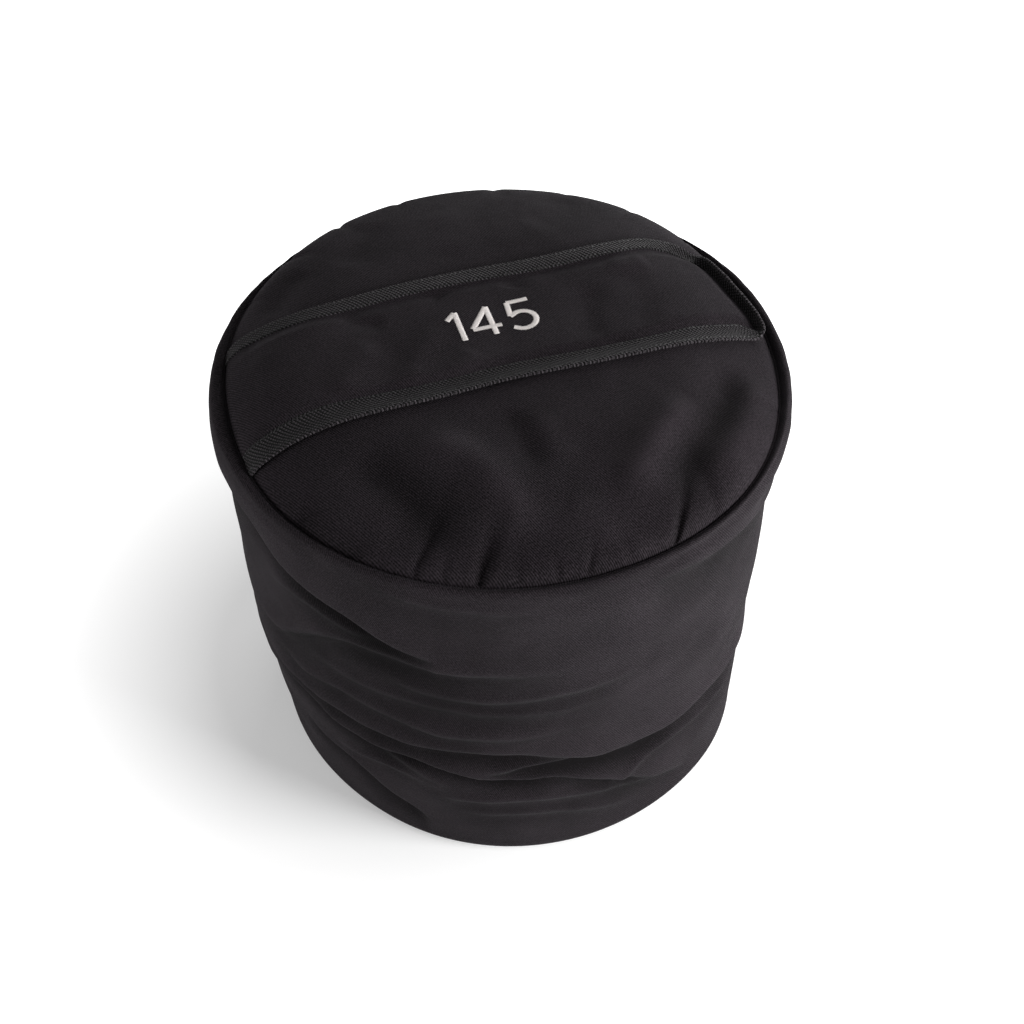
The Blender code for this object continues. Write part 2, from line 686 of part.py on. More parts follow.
def flap_middle():
    """The part of the flap inside its binding, seen from above, as a prism."""
    end = FLAP_END_RADIUS - FLAP_BINDING_WIDTH
    front = FLAP_FRONT_Y + FLAP_BINDING_WIDTH
    back = FLAP_BACK_Y - FLAP_BINDING_WIDTH
    start = math.degrees(math.asin(front / end))
    finish = math.degrees(math.asin(back / end))
    outline = [(-SEAM_RADIUS, back), (-SEAM_RADIUS, front)]
    outline += arc((0, 0), end, start, finish)
    mesh = bpy.data.meshes.new("flap_middle")
    shape = bmesh.new()
    corners = [shape.verts.new((x, y, SEAM_HEIGHT - OVERRUN)) for x, y in outline]
    floor = shape.faces.new(corners)
    raised = bmesh.ops.extrude_face_region(shape, geom=[floor])
    height = PLATEAU_HEIGHT + CROWN_HEIGHT + OVERRUN
    for vertex in (item for item in raised["geom"] if isinstance(item, bmesh.types.BMVert)):
        vertex.co.z += height
    bmesh.ops.recalc_face_normals(shape, faces=shape.faces)
    shape.to_mesh(mesh)
    shape.free()
    return add_cutter("flap_middle", mesh)


def flap_binding(hinge):
    wrap = CLEARANCE + BINDING_TAPE
    tape = crown_piece(
        "flap_binding", FLAP_LIFT - wrap, CLOTH + 2 * wrap, FLAP_END_RADIUS + wrap, binding_cloth
    )
    keep_between(tape, -FOLD_DISTANCE, SEAM_RADIUS, FLAP_FRONT_Y - wrap, FLAP_BACK_Y + wrap)
    boolean(tape, flap_middle(), "DIFFERENCE")
    boolean(tape, flap_core(CLEARANCE), "DIFFERENCE")
    carry(tape, hinge)
    return tape


def flap_sewn_end():
    """The D-shaped piece between the fold and the seam. It comes down from the fold's height
    into the seam."""
    end_radius = SEAM_RADIUS - FLAP_END_INSET / 2
    tail = crown_piece("flap_sewn_end", FLAP_LIFT, CLOTH, end_radius, shell_cloth, end_lift=CLEARANCE)
    keep_between(tail, -SEAM_RADIUS, -FOLD_DISTANCE - FOLD_GAP, FLAP_FRONT_Y, FLAP_BACK_Y)
    return tail


def closure_strip(name, lift, thickness, side, end_radius):
    """Hook or loop tape along the zip, on the front (-1) or back (1) side."""
    strip = crown_piece(name, lift, thickness, end_radius, closure_nylon)
    inner = ZIP_Y + side * (SLOT_WIDTH / 2 + STRIP_FROM_SLOT)
    binding_edge = (FLAP_BACK_Y - FLAP_FRONT_Y) / 2 - FLAP_BINDING_WIDTH
    outer = ZIP_Y + side * (binding_edge - STRIP_FROM_BINDING)
    left = STRIP_END_INSET - FOLD_DISTANCE
    keep_between(strip, left, SEAM_RADIUS, min(inner, outer), max(inner, outer))
    return strip


# Liner bag: a thin sack that fills the shell, with a neck in a hollow of its top.
def liner_lines():
    """The liner's outer line from the middle of its top down to the middle of its base."""
    wall = inset(wall_side_line()[::2], CLOTH + max(SWAG_DRAW, BINDING_TAPE) + 3 * CLEARANCE)
    base_z = CLOTH + CLEARANCE
    above_binding = SEAM_ALLOWANCE + BINDING_TAPE + 3 * CLEARANCE
    crown = crown_line(-LINER_DEPTH, LINER_SHOULDER_RADIUS)[2:]
    line = [(0, LINER_FLOOR_Z), (RECESS_RADIUS, LINER_FLOOR_Z)]
    line.append((RECESS_RADIUS + RECESS_SLOPE, PLATEAU_Z - LINER_DEPTH))
    line += crown
    line += wall[1:]
    line.append((LINER_BASE_RADIUS + LINER_CLEARANCE, above_binding))
    line.append((LINER_BASE_RADIUS, base_z))
    line.append((0, base_z))
    return line


def liner_body():
    line = liner_lines()
    neck = [(NECK_RADIUS, LINER_FLOOR_Z + NECK_HEIGHT), (NECK_RADIUS, LINER_FLOOR_Z)]
    return turned_shell("liner_body", neck + line[1:], LINER, liner_cloth)


def sand():
    line = inset(liner_lines(), LINER + CLEARANCE)
    fill = add_part("sand", line_mesh("sand", line), dry_sand)
    turn(fill)
    return fill


def spout_line():
    """The folded spout's middle line, seen from the front: three runs with a fold at each end."""
    half = SPOUT_LENGTH / 2
    first = (SPOUT_CLOTH + SPOUT_FOLD_GAP) / 2
    second = (SPOUT_CLOTH + SPOUT_CLOSURE_GAP) / 2
    low = SPOUT_BOTTOM_Z + SPOUT_CLOTH / 2
    line = [(-half, low)]
    line += arc((half, low + first), first, -90, 90)
    line += arc((-half, low + 2 * first + second), second, 270, 90)
    line.append((half, low + 2 * first + 2 * second))
    return line


def liner_spout():
    mesh = bpy.data.meshes.new("liner_spout")
    line = spout_line()
    count = len(line)
    points = [(x, side * SPOUT_WIDTH / 2, z) for side in (-1, 1) for x, z in line]
    faces = [(i, i + 1, i + 1 + count, i + count) for i in range(count - 1)]
    mesh.from_pydata(points, [], faces)
    spout = add_part("liner_spout", mesh, liner_cloth)
    thicken(spout, SPOUT_CLOTH, offset=0)
    return spout


def spout_strip(name, bottom):
    """Hook or loop tape that holds the spout's last run down."""
    x_mid = SPOUT_LENGTH / 4
    half_width = SPOUT_STRIP_WIDTH / 2
    half_length = SPOUT_WIDTH / 2
    low = (x_mid - half_width, -half_length, bottom)
    high = (x_mid + half_width, half_length, bottom + SPOUT_STRIP)
    return add_part(name, box_mesh(name, low, high), closure_nylon)


def spout_strips():
    middle_top = SPOUT_BOTTOM_Z + 2 * SPOUT_CLOTH + SPOUT_FOLD_GAP
    spout_strip("spout_loop_strip", middle_top + CLEARANCE)
    spout_strip("spout_hook_strip", middle_top + 2 * CLEARANCE + SPOUT_STRIP)


# Assembly, from the floor up
side_wall()
side_seam_binding()
base_panel()
seam_binding("base_seam_binding", BASE_SEAM_RADIUS, SEAM_ALLOWANCE, 1)
seam_binding("top_seam_binding", SEAM_RADIUS, SEAM_HEIGHT - SEAM_ALLOWANCE, -1)
sand()
liner_body()
liner_spout()
spout_strips()
for place, side in (("front", -1), ("back", 1)):
    top_panel("top_panel_" + place, side)
    zip_tape("zip_tape_" + place, side)
    zip_teeth("zip_teeth_" + place, side)
    closure_strip("loop_strip_" + place, CLEARANCE, LOOP_THICKNESS, side, LOOP_END_RADIUS)
zip_stops()
zip_pull(zip_slider())
fold = flap_hinge()
flap(fold)
flap_binding(fold)
flap_sewn_end()
hook_lift = FLAP_LIFT - CLEARANCE - HOOK_THICKNESS
for place, side in (("front", -1), ("back", 1)):
    carry(closure_strip("hook_strip_" + place, hook_lift, HOOK_THICKNESS, side, HOOK_END_RADIUS), fold)
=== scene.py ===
"""Sandbag trainer, dressed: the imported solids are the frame, and cloth, tape, trims and fill are
modelled over them. Metres, +Z up, +X along the zip towards the flap's free end."""

import math

import bmesh
import bpy
import numpy as np
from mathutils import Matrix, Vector, noise


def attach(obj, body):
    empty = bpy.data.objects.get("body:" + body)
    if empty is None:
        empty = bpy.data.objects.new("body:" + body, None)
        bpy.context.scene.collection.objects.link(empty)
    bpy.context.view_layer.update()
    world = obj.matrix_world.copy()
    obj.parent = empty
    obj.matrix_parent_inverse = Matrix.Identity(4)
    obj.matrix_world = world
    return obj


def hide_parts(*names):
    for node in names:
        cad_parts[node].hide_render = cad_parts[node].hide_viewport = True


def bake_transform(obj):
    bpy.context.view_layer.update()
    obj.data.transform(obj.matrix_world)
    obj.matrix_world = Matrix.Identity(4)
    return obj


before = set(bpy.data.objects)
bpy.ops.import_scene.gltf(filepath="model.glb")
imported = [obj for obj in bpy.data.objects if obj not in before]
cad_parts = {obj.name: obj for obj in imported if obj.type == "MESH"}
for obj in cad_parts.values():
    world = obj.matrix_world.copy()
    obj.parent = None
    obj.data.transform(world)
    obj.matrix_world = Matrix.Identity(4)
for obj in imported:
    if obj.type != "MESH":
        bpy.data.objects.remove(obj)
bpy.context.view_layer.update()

# Bag. It stands on a flat round base. Its side wall rises to a round seam, and the fill crowns the
# top above that seam.
SEAM_RADIUS = 0.195
SEAM_HEIGHT = 0.335
CROWN_HEIGHT = 0.031
CROWN_POWER = 3.5
SAMPLES_BETWEEN_POINTS = 24
DOUBLED_WITHIN = 1e-6


def crown(radius):
    """Height of the filled top above its seam."""
    return CROWN_HEIGHT * (1 - (np.minimum(radius, SEAM_RADIUS) / SEAM_RADIUS) ** CROWN_POWER)


def smooth_step(value, start=0, span=1):
    """0 up to the start, then an even rise to 1 over the span."""
    share = np.clip((value - start) / span, 0, 1)
    return share * share * (3 - 2 * share)


def spread(*parts):
    """A grid of points from their coordinates, which may vary by row, by column or not at all."""
    return np.stack(np.broadcast_arrays(*parts), axis=-1)


def unit(vectors):
    """Vectors of length 1 in the same directions."""
    return vectors / np.maximum(np.linalg.norm(vectors, axis=-1, keepdims=True), 1e-9)


def left_of(line):
    """Which way is to the left of a flat line, at each of its points."""
    slope = unit(np.gradient(line, axis=0))
    return np.column_stack([-slope[:, 1], slope[:, 0]])


def travelled(line):
    """How far along a line each of its points lies."""
    return np.concatenate([[0], np.cumsum(np.linalg.norm(np.diff(line, axis=0), axis=1))])


def points_at(line, run, wanted):
    """A line's points at the wanted places, where run gives the place of each known point."""
    return np.column_stack([np.interp(wanted, run, column) for column in line.T])


def smooth_line(points, spacing):
    """A smooth line through the points, sampled at an even spacing."""
    points = np.array(points, float)
    ends = np.vstack([2 * points[0] - points[1], points, 2 * points[-1] - points[-2]])
    share = np.linspace(0, 1, SAMPLES_BETWEEN_POINTS, endpoint=False)[:, None]
    pieces = []
    for before, start, end, after in zip(ends, ends[1:], ends[2:], ends[3:]):
        bend = 2 * before - 5 * start + 4 * end - after
        turn = 3 * start - before - 3 * end + after
        pieces.append((2 * start + (end - before) * share + bend * share ** 2 + turn * share ** 3) / 2)
    dense = np.vstack(pieces + [points[-1:]])
    run = travelled(dense)
    return points_at(dense, run, np.linspace(0, run[-1], max(int(run[-1] / spacing), 1) + 1))


def lumps(points, span, seed):
    """Smooth noise, about -1 to 1, whose lumps are as wide as the span (one width for each axis)."""
    scaled = np.asarray(points, float) / span + seed
    values = [noise.noise(Vector(point)) for point in scaled.reshape(-1, 3)]
    return np.array(values).reshape(scaled.shape[:-1])


def add_object(name, data):
    """An object in the scene, made from its mesh, lamp or camera."""
    made = bpy.data.objects.new(name, data)
    bpy.context.scene.collection.objects.link(made)
    return made


def grid_piece(name, points, material, flat, close_across=False, close_along=False):
    """A mesh from a grid of points, rows by columns. flat gives each point's place on the flat
    cloth in metres, which becomes the UV map that weaves follow."""
    rows, columns = points.shape[:2]
    row_count = rows if close_along else rows - 1
    column_count = columns if close_across else columns - 1
    row = np.arange(row_count)[:, None]
    column = np.arange(column_count)[None, :]
    next_row = (row + 1) % rows
    next_column = (column + 1) % columns
    faces = np.stack(
        [row * columns + column, next_row * columns + column,
         next_row * columns + next_column, row * columns + next_column], axis=-1
    ).reshape(-1, 4)
    mesh = bpy.data.meshes.new(name)
    mesh.from_pydata(points.reshape(-1, 3).tolist(), [], faces.tolist())
    uv = mesh.uv_layers.new(name="flat_cloth")
    corners = flat.reshape(-1, 2)[faces.reshape(-1)]
    if close_across:
        last = (faces[:, [2, 3]] % columns == 0) & (faces[:, [0, 1]] % columns != 0)
        wrap = np.zeros(faces.shape, bool)
        wrap[:, [2, 3]] = last
        step = flat[:, -1, 0].max() - flat[:, -2, 0].max()
        corners[wrap.reshape(-1), 0] = flat[..., 0].max() + step
    uv.data.foreach_set("uv", corners.astype(np.float32).reshape(-1))
    mesh.polygons.foreach_set("use_smooth", [True] * len(mesh.polygons))
    mesh.materials.append(material)
    return add_object(name, mesh)


def paint_light_and_shade(piece, light_and_shade):
    """Paints light into each point's cloth colour, above 0, or shade, below 0."""
    layer = piece.data.attributes.new("painted_shading", "FLOAT", "POINT")
    layer.data.foreach_set("value", light_and_shade.astype(np.float32).reshape(-1))


def face_outwards(piece):
    """Joins the doubled points of a closed piece and turns its faces to the outside."""
    shape = bmesh.new()
    shape.from_mesh(piece.data)
    bmesh.ops.remove_doubles(shape, verts=shape.verts, dist=DOUBLED_WITHIN)
    bmesh.ops.recalc_face_normals(shape, faces=shape.faces)
    shape.to_mesh(piece.data)
    shape.free()


def close_holes(piece, below=math.inf):
    """Fills the openings of a piece that lie lower than a height."""
    shape = bmesh.new()
    shape.from_mesh(piece.data)
    rims = [edge for edge in shape.edges if edge.is_boundary and edge.verts[0].co.z < below]
    bmesh.ops.holes_fill(shape, edges=rims, sides=0)
    shape.to_mesh(piece.data)
    shape.free()


def keep_result(piece, all_layers=True):
    """Turns what a piece's modifiers make into plain mesh."""
    graph = bpy.context.evaluated_depsgraph_get()
    made = bpy.data.meshes.new_from_object(
        piece.evaluated_get(graph), preserve_all_data_layers=all_layers, depsgraph=graph
    )
    piece.modifiers.clear()
    piece.data = made


def thicken(piece, thickness, offset=-1):
    """Gives a sheet its thickness, inwards unless the offset says otherwise."""
    solid = piece.modifiers.new("thickness", "SOLIDIFY")
    solid.thickness = thickness
    solid.offset = offset
    solid.use_even_offset = False
    keep_result(piece)


def turned_piece(name, line, material, turns, lump=0, span=1, seed=0):
    """A line of (radius, height) points turned about Z, with slow lumps that stand out as far as
    lump and rise half as far."""
    angle = np.linspace(0, 2 * math.pi, turns, endpoint=False)
    outward = spread(np.cos(angle), np.sin(angle), 0)
    radius = line[:, :1]
    points = spread(radius * outward[:, 0], radius * outward[:, 1], line[:, 1:])
    if lump:
        relief = lump * lumps(points, span, seed) * np.minimum(radius / span, 1)
        points += relief[..., None] * outward
        points[..., 2] += relief / 2
    flat = spread(angle * line[:, 0].max(), travelled(line)[:, None])
    return grid_piece(name, points, material, flat, close_across=True)


# How many bands a Wave Texture draws in a metre when its scale is 1
BANDS_AT_SCALE_ONE = 3.2


class Wire:
    """A shader socket that takes part in Python sums. Each sum adds a Math node."""

    def __init__(self, finish, socket):
        self.finish = finish
        self.socket = socket

    def math(self, operation, first, second):
        return self.finish.node("ShaderNodeMath", {"operation": operation}, {0: first, 1: second})

    def __add__(self, other):
        return self.math("ADD", self, other)

    def __sub__(self, other):
        return self.math("SUBTRACT", self, other)

    def __rsub__(self, other):
        return self.math("SUBTRACT", other, self)

    def __mul__(self, other):
        return self.math("MULTIPLY", self, other)

    __radd__ = __add__
    __rmul__ = __mul__


class Nodes:
    """A tree of nodes, and how they are added to it."""

    def __init__(self, tree):
        self.tree = tree

    def node(self, kind, settings=None, inputs=None, output=0):
        """Adds a node: its settings first, then the values or wires of its sockets."""
        made = self.tree.nodes.new(kind)
        for name, value in (settings or {}).items():
            setattr(made, name, value)
        for name, value in (inputs or {}).items():
            self.join(value, made.inputs[name])
        return Wire(self, made.outputs[output])

    def join(self, value, socket):
        if isinstance(value, Wire):
            self.tree.links.new(value.socket, socket)
        else:
            socket.default_value = value


class Finish(Nodes):
    """A material, and the nodes that draw it."""

    def __init__(self, name, roughness=0.5, metallic=0.0, sheen=0.0):
        self.material = bpy.data.materials.new(name)
        self.material.use_nodes = True
        super().__init__(self.material.node_tree)
        self.shader = self.tree.nodes["Principled BSDF"]
        self.give({"Roughness": roughness, "Metallic": metallic, "Sheen Weight": sheen})

    def give(self, values):
        """Joins values or wires to the shader's sockets."""
        for name, value in values.items():
            self.join(value, self.shader.inputs[name])

    def place(self):
        """The point being shaded, in metres, in the object's own space."""
        return self.node("ShaderNodeTexCoord", output="Object")

    def cloth_place(self):
        """The point's place on the flat cloth, in metres."""
        return self.node("ShaderNodeUVMap", {"uv_map": "flat_cloth"})

    def cloth_axes(self):
        """The place on the flat cloth as two separate lengths."""
        parts = self.tree.nodes.new("ShaderNodeSeparateXYZ")
        self.join(self.cloth_place(), parts.inputs[0])
        return Wire(self, parts.outputs[0]), Wire(self, parts.outputs[1])

    def painted_shading(self):
        """The painted light and shade that has been written on the piece."""
        return self.node("ShaderNodeAttribute", {"attribute_name": "painted_shading"}, output="Fac")

    def cloud(self, place, span, detail=2.0, stretch=(1, 1, 1)):
        """Smooth noise, about 0 to 1, with lumps as wide as the span."""
        wide = self.node("ShaderNodeVectorMath", {"operation": "MULTIPLY"}, {0: place, 1: stretch})
        values = {"Vector": wide, "Scale": 1 / span, "Detail": detail}
        return self.node("ShaderNodeTexNoise", None, values, "Fac")

    def ribs(self, distance, pitch, depth=0.5):
        """Even ribs, 1 at their crests, with grooves twice as deep as the depth."""
        phase = distance * (2 * math.pi / pitch)
        return self.node("ShaderNodeMath", {"operation": "SINE"}, {0: phase}) * depth + (1 - depth)

    def bands(self, place, pitch, axis):
        """Even bands at a pitch along an axis."""
        values = {"Vector": place, "Scale": 1 / pitch / BANDS_AT_SCALE_ONE}
        return self.node("ShaderNodeTexWave", {"bands_direction": axis}, values)

    def mix(self, share, low, high):
        """A colour between two colours, from the colour sockets of a Mix node."""
        made = self.tree.nodes.new("ShaderNodeMix")
        made.data_type = "RGBA"
        self.join(share, made.inputs["Factor"])
        for socket, colour in ((6, low), (7, high)):
            self.join((*colour, 1), made.inputs[socket])
        return Wire(self, made.outputs[2])

    def colour(self, wire):
        self.give({"Base Color": wire})

    def roughness(self, wire):
        self.give({"Roughness": wire})

    def relief(self, height, strength=1.0):
        """Raises the surface by a height in metres."""
        values = {"Strength": strength, "Distance": 1.0, "Height": height}
        self.give({"Normal": self.node("ShaderNodeBump", None, values)})


# Sand. Dry, fine and pale brown, it fills the liner to the shoulders and carries the whole load.
# Its surface follows the cloth round it, with the slow lumps that settled sand keeps.
SAND_GRAIN = 0.0009
SAND_GRAIN_HEIGHT = 0.0006
SAND_PALE = (0.56, 0.43, 0.27)
SAND_DARK = (0.36, 0.26, 0.15)
# Half the sand's outline, as (radius, height)
SAND_LINE = [
    (0, 0.3385), (0.078, 0.3385), (0.092, 0.3500), (0.128, 0.3495), (0.155, 0.3440),
    (0.176, 0.3330), (0.184, 0.3180), (0.186, 0.2500), (0.185, 0.1700), (0.180, 0.1000),
    (0.176, 0.0400), (0.166, 0.0180), (0.164, 0.0050), (0.150, 0.0040), (0, 0.0040),
]
SACK_STEP = 0.004
SACK_TURNS = 160
SACK_LUMPS = (0.0012, 0.050, 3)

dry_sand = Finish("dry_sand", 0.95)
grains = dry_sand.cloud(dry_sand.place(), SAND_GRAIN, 3)
dry_sand.colour(dry_sand.mix(grains, SAND_DARK, SAND_PALE))
dry_sand.relief(grains * SAND_GRAIN_HEIGHT)

sand_line = smooth_line(SAND_LINE, SACK_STEP)
sand_line[:, 1] = np.maximum(sand_line[:, 1], SAND_LINE[-1][1])
sand_line[[0, -1], 0] = 0
sand = turned_piece("sand_fill", sand_line[::-1], dry_sand.material, SACK_TURNS, *SACK_LUMPS)
face_outwards(sand)
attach(sand, "bag")
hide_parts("sand")

# Liner. A sack of thin grey coated nylon holds the sand, and its filling spout is folded over
# three times under the zip, held down by a hook-and-loop strip.
LINER_GREY = (0.30, 0.30, 0.29)
LINER_SHADE = (0.22, 0.22, 0.215)
LINER_CLOTH = 0.0012
LINER_STANDOFF = 0.00108
RIPSTOP = 0.005
RIPSTOP_HEIGHT = 0.00008
LINER_CREASE = 0.004
LINER_CREASE_SPAN = 0.030
NECK_RADIUS = 0.045
NECK_TOP = 0.3427
SPOUT_HALF_WIDTH = 0.045
SPOUT_STEP = 0.002
SPOUT_RIPPLE = 0.0002
SPOUT_RIPPLE_SPAN = 0.02
# The folded spout from its side, as (x, height)
SPOUT_LINE = [
    (-0.0500, 0.34343), (0.0500, 0.34343), (0.0512, 0.34438), (0.0500, 0.34533),
    (-0.0500, 0.34533), (-0.0522, 0.34858), (-0.0500, 0.35183), (0.0500, 0.35183),
]

liner_cloth = Finish("liner_cloth", 0.62, sheen=0.1)
weave = liner_cloth.cloth_place()
both_ways = {0: liner_cloth.bands(weave, RIPSTOP, "X"), 1: liner_cloth.bands(weave, RIPSTOP, "Y")}
ripstop = liner_cloth.node("ShaderNodeMath", {"operation": "MAXIMUM"}, both_ways)
creases = liner_cloth.cloud(liner_cloth.place(), LINER_CREASE_SPAN, 4)
liner_cloth.colour(liner_cloth.mix(creases * 0.7 + ripstop * 0.3, LINER_SHADE, LINER_GREY))
liner_cloth.relief(ripstop * RIPSTOP_HEIGHT + creases * LINER_CREASE)

sack_line = sand_line + LINER_STANDOFF * left_of(sand_line)
sack_line = sack_line[sack_line[:, 0] > 0.001]
sack_line = sack_line[(sack_line[:, 0] > NECK_RADIUS) | (sack_line[:, 1] < SEAM_HEIGHT / 2)]
neck_line = [[NECK_RADIUS, NECK_TOP], [NECK_RADIUS, (NECK_TOP + sack_line[0, 1]) / 2]]
sack_line = np.vstack([neck_line, sack_line, [[0, sack_line[-1, 1]]]])
sack = turned_piece("liner_sack", sack_line, liner_cloth.material, SACK_TURNS, *SACK_LUMPS)
face_outwards(sack)
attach(sack, "bag")
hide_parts("liner_body")

spout_runs = [np.array(SPOUT_LINE[:1])]
for start, end in zip(SPOUT_LINE, SPOUT_LINE[1:]):
    steps = max(int(math.dist(start, end) / SPOUT_STEP), 2)
    spout_runs.append(np.linspace(start, end, steps + 1)[1:])
spout_path = np.vstack(spout_runs)
spout_run = travelled(spout_path)
across = np.linspace(-SPOUT_HALF_WIDTH, SPOUT_HALF_WIDTH, 46)
spout_points = spread(spout_path[:, :1], across, spout_path[:, 1:])
spout_points[..., 2] += SPOUT_RIPPLE * lumps(spout_points * [1, 1, 0], SPOUT_RIPPLE_SPAN, seed=8)
spout_flat = spread(across, spout_run[:, None])
spout = grid_piece("liner_spout_folded", spout_points, liner_cloth.material, spout_flat)
thicken(spout, LINER_CLOTH, 0)
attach(spout, "bag")
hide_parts("liner_spout")

# Base. A round panel of the same heavy black twill as the whole outer bag, with its edge turned
# up inside the wall's, and tape bound over both raw edges.
CLOTH = 0.002
# The twill's dark and pale ends: the weave, random patches and the painted light and shade mix between
# them
CLOTH_BLACK = (0.0030, 0.0024, 0.0028)
CLOTH_PALE = (0.0420, 0.0336, 0.0402)
CLOTH_SHEEN = {
    "Sheen Weight": 0.04, "Sheen Roughness": 0.45, "Sheen Tint": (0.95, 0.90, 0.97, 1),
    "Specular IOR Level": 0.07,
}
# The twill's ribs slant, so a step along the cloth counts more than a step up it
TWILL_SLANT = (0.86, 0.5)
TWILL_PITCH = 0.0014
TWILL_HEIGHT = 0.00024
YARN_PITCH = 0.0007
YARN_HEIGHT = 0.000096
WOBBLE = 0.0011
WOBBLE_SPAN = 0.020
FUZZ_SPAN = 0.0013
FUZZ_HEIGHT = 0.00012
SLUB_SPAN = 0.011
SLUB_HEIGHT = 0.0006
PATCH_SPAN = 0.045
# How much the ribs, the fuzz and the patches lighten the cloth, and how far the dye darkens it
RIB_SHARE = 0.50
FUZZ_SHARE = 1.50
PATCH_SHARE = 0.40
DYE_SHARE = 0.87
CLOTH_ROUGHNESS = 0.86
PATCH_POLISH = 0.18
BASE_SEAM_RADIUS = 0.180
SEAM_ALLOWANCE = 0.012
# Half the base's outline, as (radius, height): its turned-up edge, then its flat
BASE_LINE = [(0.17985, 0.0120), (0.17985, 0.0060), (0.1790, 0.0022), (0.1765, 0.0002), (0.1600, 0.0000)]
BASE_MIDDLE = (0.002, 0)
BASE_EDGE_STEP = 0.0015
BASE_FLAT_STEPS = 40
BASE_TURNS = 200


def twill(name, dark, pale):
    """Heavy twill: diagonal ribs across the yarns, patchy where it is worn, with the piece's painted
    light and shade.
    """
    finish = Finish(name)
    finish.give(CLOTH_SHEEN)
    place = finish.cloth_place()
    along, up = finish.cloth_axes()
    more, less = TWILL_SLANT
    wobble = finish.cloud(place, WOBBLE_SPAN, 2) * WOBBLE
    rib = finish.ribs(along * more + up * less + wobble, TWILL_PITCH)
    yarn = finish.ribs(up * more - along * less + wobble, YARN_PITCH)
    fuzz = finish.cloud(place, FUZZ_SPAN, 3)
    slubs = finish.cloud(place, SLUB_SPAN, 3)
    patch = finish.cloud(finish.place(), PATCH_SPAN, 4)
    shade = rib * RIB_SHARE + fuzz * FUZZ_SHARE + patch * PATCH_SHARE + finish.painted_shading() - DYE_SHARE
    finish.colour(finish.mix(shade, dark, pale))
    finish.roughness(CLOTH_ROUGHNESS - patch * PATCH_POLISH)
    weave_height = rib * TWILL_HEIGHT + yarn * YARN_HEIGHT + fuzz * FUZZ_HEIGHT
    finish.relief(weave_height + slubs * SLUB_HEIGHT, 0.8)
    return finish


shell = twill("shell_twill", CLOTH_BLACK, CLOTH_PALE)

base_flat_part = np.linspace(BASE_LINE[-1], BASE_MIDDLE, BASE_FLAT_STEPS)[1:]
base_line = np.vstack([smooth_line(BASE_LINE, BASE_EDGE_STEP), base_flat_part])
base_line[:, 1] = np.maximum(base_line[:, 1], 0)
base = turned_piece("base_round", base_line, shell.material, BASE_TURNS)
base_points = np.empty(len(base.data.vertices) * 3)
base.data.vertices.foreach_get("co", base_points)
corner_points = np.empty(len(base.data.loops), np.int32)
base.data.loops.foreach_get("vertex_index", corner_points)
base_plan = base_points.reshape(-1, 3)[corner_points, :2]
base.data.uv_layers[0].data.foreach_set("uv", base_plan.astype(np.float32).reshape(-1))
close_holes(base, below=CLOTH)
thicken(base, CLOTH)
face_outwards(base)
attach(base, "bag")
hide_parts("base_panel")

# Binding tape. Black herringbone tape covers the raw edges inside the bag and binds the flap. Over
# the two round seams it is folded, with the seam's raw edges inside the fold.
TAPE_BLACK = (0.0010, 0.0010, 0.0010)
TAPE_PALE = (0.0590, 0.0508, 0.0572)
HERRINGBONE = 0.0028
HERRINGBONE_PANEL = 0.0160
HERRINGBONE_HEIGHT = 0.00080
HERRINGBONE_WOBBLE = 0.0012
HERRINGBONE_SLOPE = 0.9
TAPE_WOBBLE_SPAN = 0.012
TAPE_FUZZ_SPAN = 0.0010
TAPE_FUZZ_HEIGHT = 0.00015
TAPE_PATCH_SPAN = 0.03
# How much the ribs, the fuzz and the patches lighten the tape, and how far the dye darkens it
TAPE_RIB_SHARE = 1.70
TAPE_FUZZ_SHARE = 0.60
TAPE_PATCH_SHARE = 0.30
TAPE_DYE_SHARE = 1.00
SEAM_TAPE_DEPTH = 0.0062
SEAM_TAPE_THICKNESS = 0.0007
SEAM_TAPE_LUMPS = (0.00015, 0.012, 5)
SEAM_TAPE_STEP = 0.0008
SEAM_TAPE_TURNS = 220
# The tape from one edge over the fold, as (distance from the seam, height above the raw edge)
SEAM_TAPE_FOLD = [(-0.0030, 0.0008), (0, 0.0013), (0.0030, 0.0008)]


def herringbone(name, dark, pale):
    """Binding tape, woven in slanting ribs that turn back at each panel's edge."""
    finish = Finish(name, 0.60, sheen=0.03)
    finish.give({"Specular IOR Level": 0.16})
    place = finish.cloth_place()
    along, across = finish.cloth_axes()
    fold = finish.node("ShaderNodeMath", {"operation": "PINGPONG"}, {0: across, 1: HERRINGBONE_PANEL})
    wobble = finish.cloud(place, TAPE_WOBBLE_SPAN, 2) * HERRINGBONE_WOBBLE
    rib = finish.ribs(along + fold * HERRINGBONE_SLOPE + wobble, HERRINGBONE)
    yarn = finish.ribs(along * HERRINGBONE_SLOPE - fold + wobble, HERRINGBONE, depth=0.25)
    fuzz = finish.cloud(place, TAPE_FUZZ_SPAN, 3)
    patch = finish.cloud(finish.place(), TAPE_PATCH_SPAN, 3)
    shade = rib * yarn * TAPE_RIB_SHARE + fuzz * TAPE_FUZZ_SHARE + patch * TAPE_PATCH_SHARE
    # The piece's painted light and shade is added to the tape's shade here
    shade = shade + finish.painted_shading() - TAPE_DYE_SHARE
    finish.colour(finish.mix(shade, dark, pale))
    finish.relief(rib * yarn * HERRINGBONE_HEIGHT + fuzz * TAPE_FUZZ_HEIGHT, 0.9)
    return finish


binding_tape = herringbone("binding_herringbone", TAPE_BLACK, TAPE_PALE)


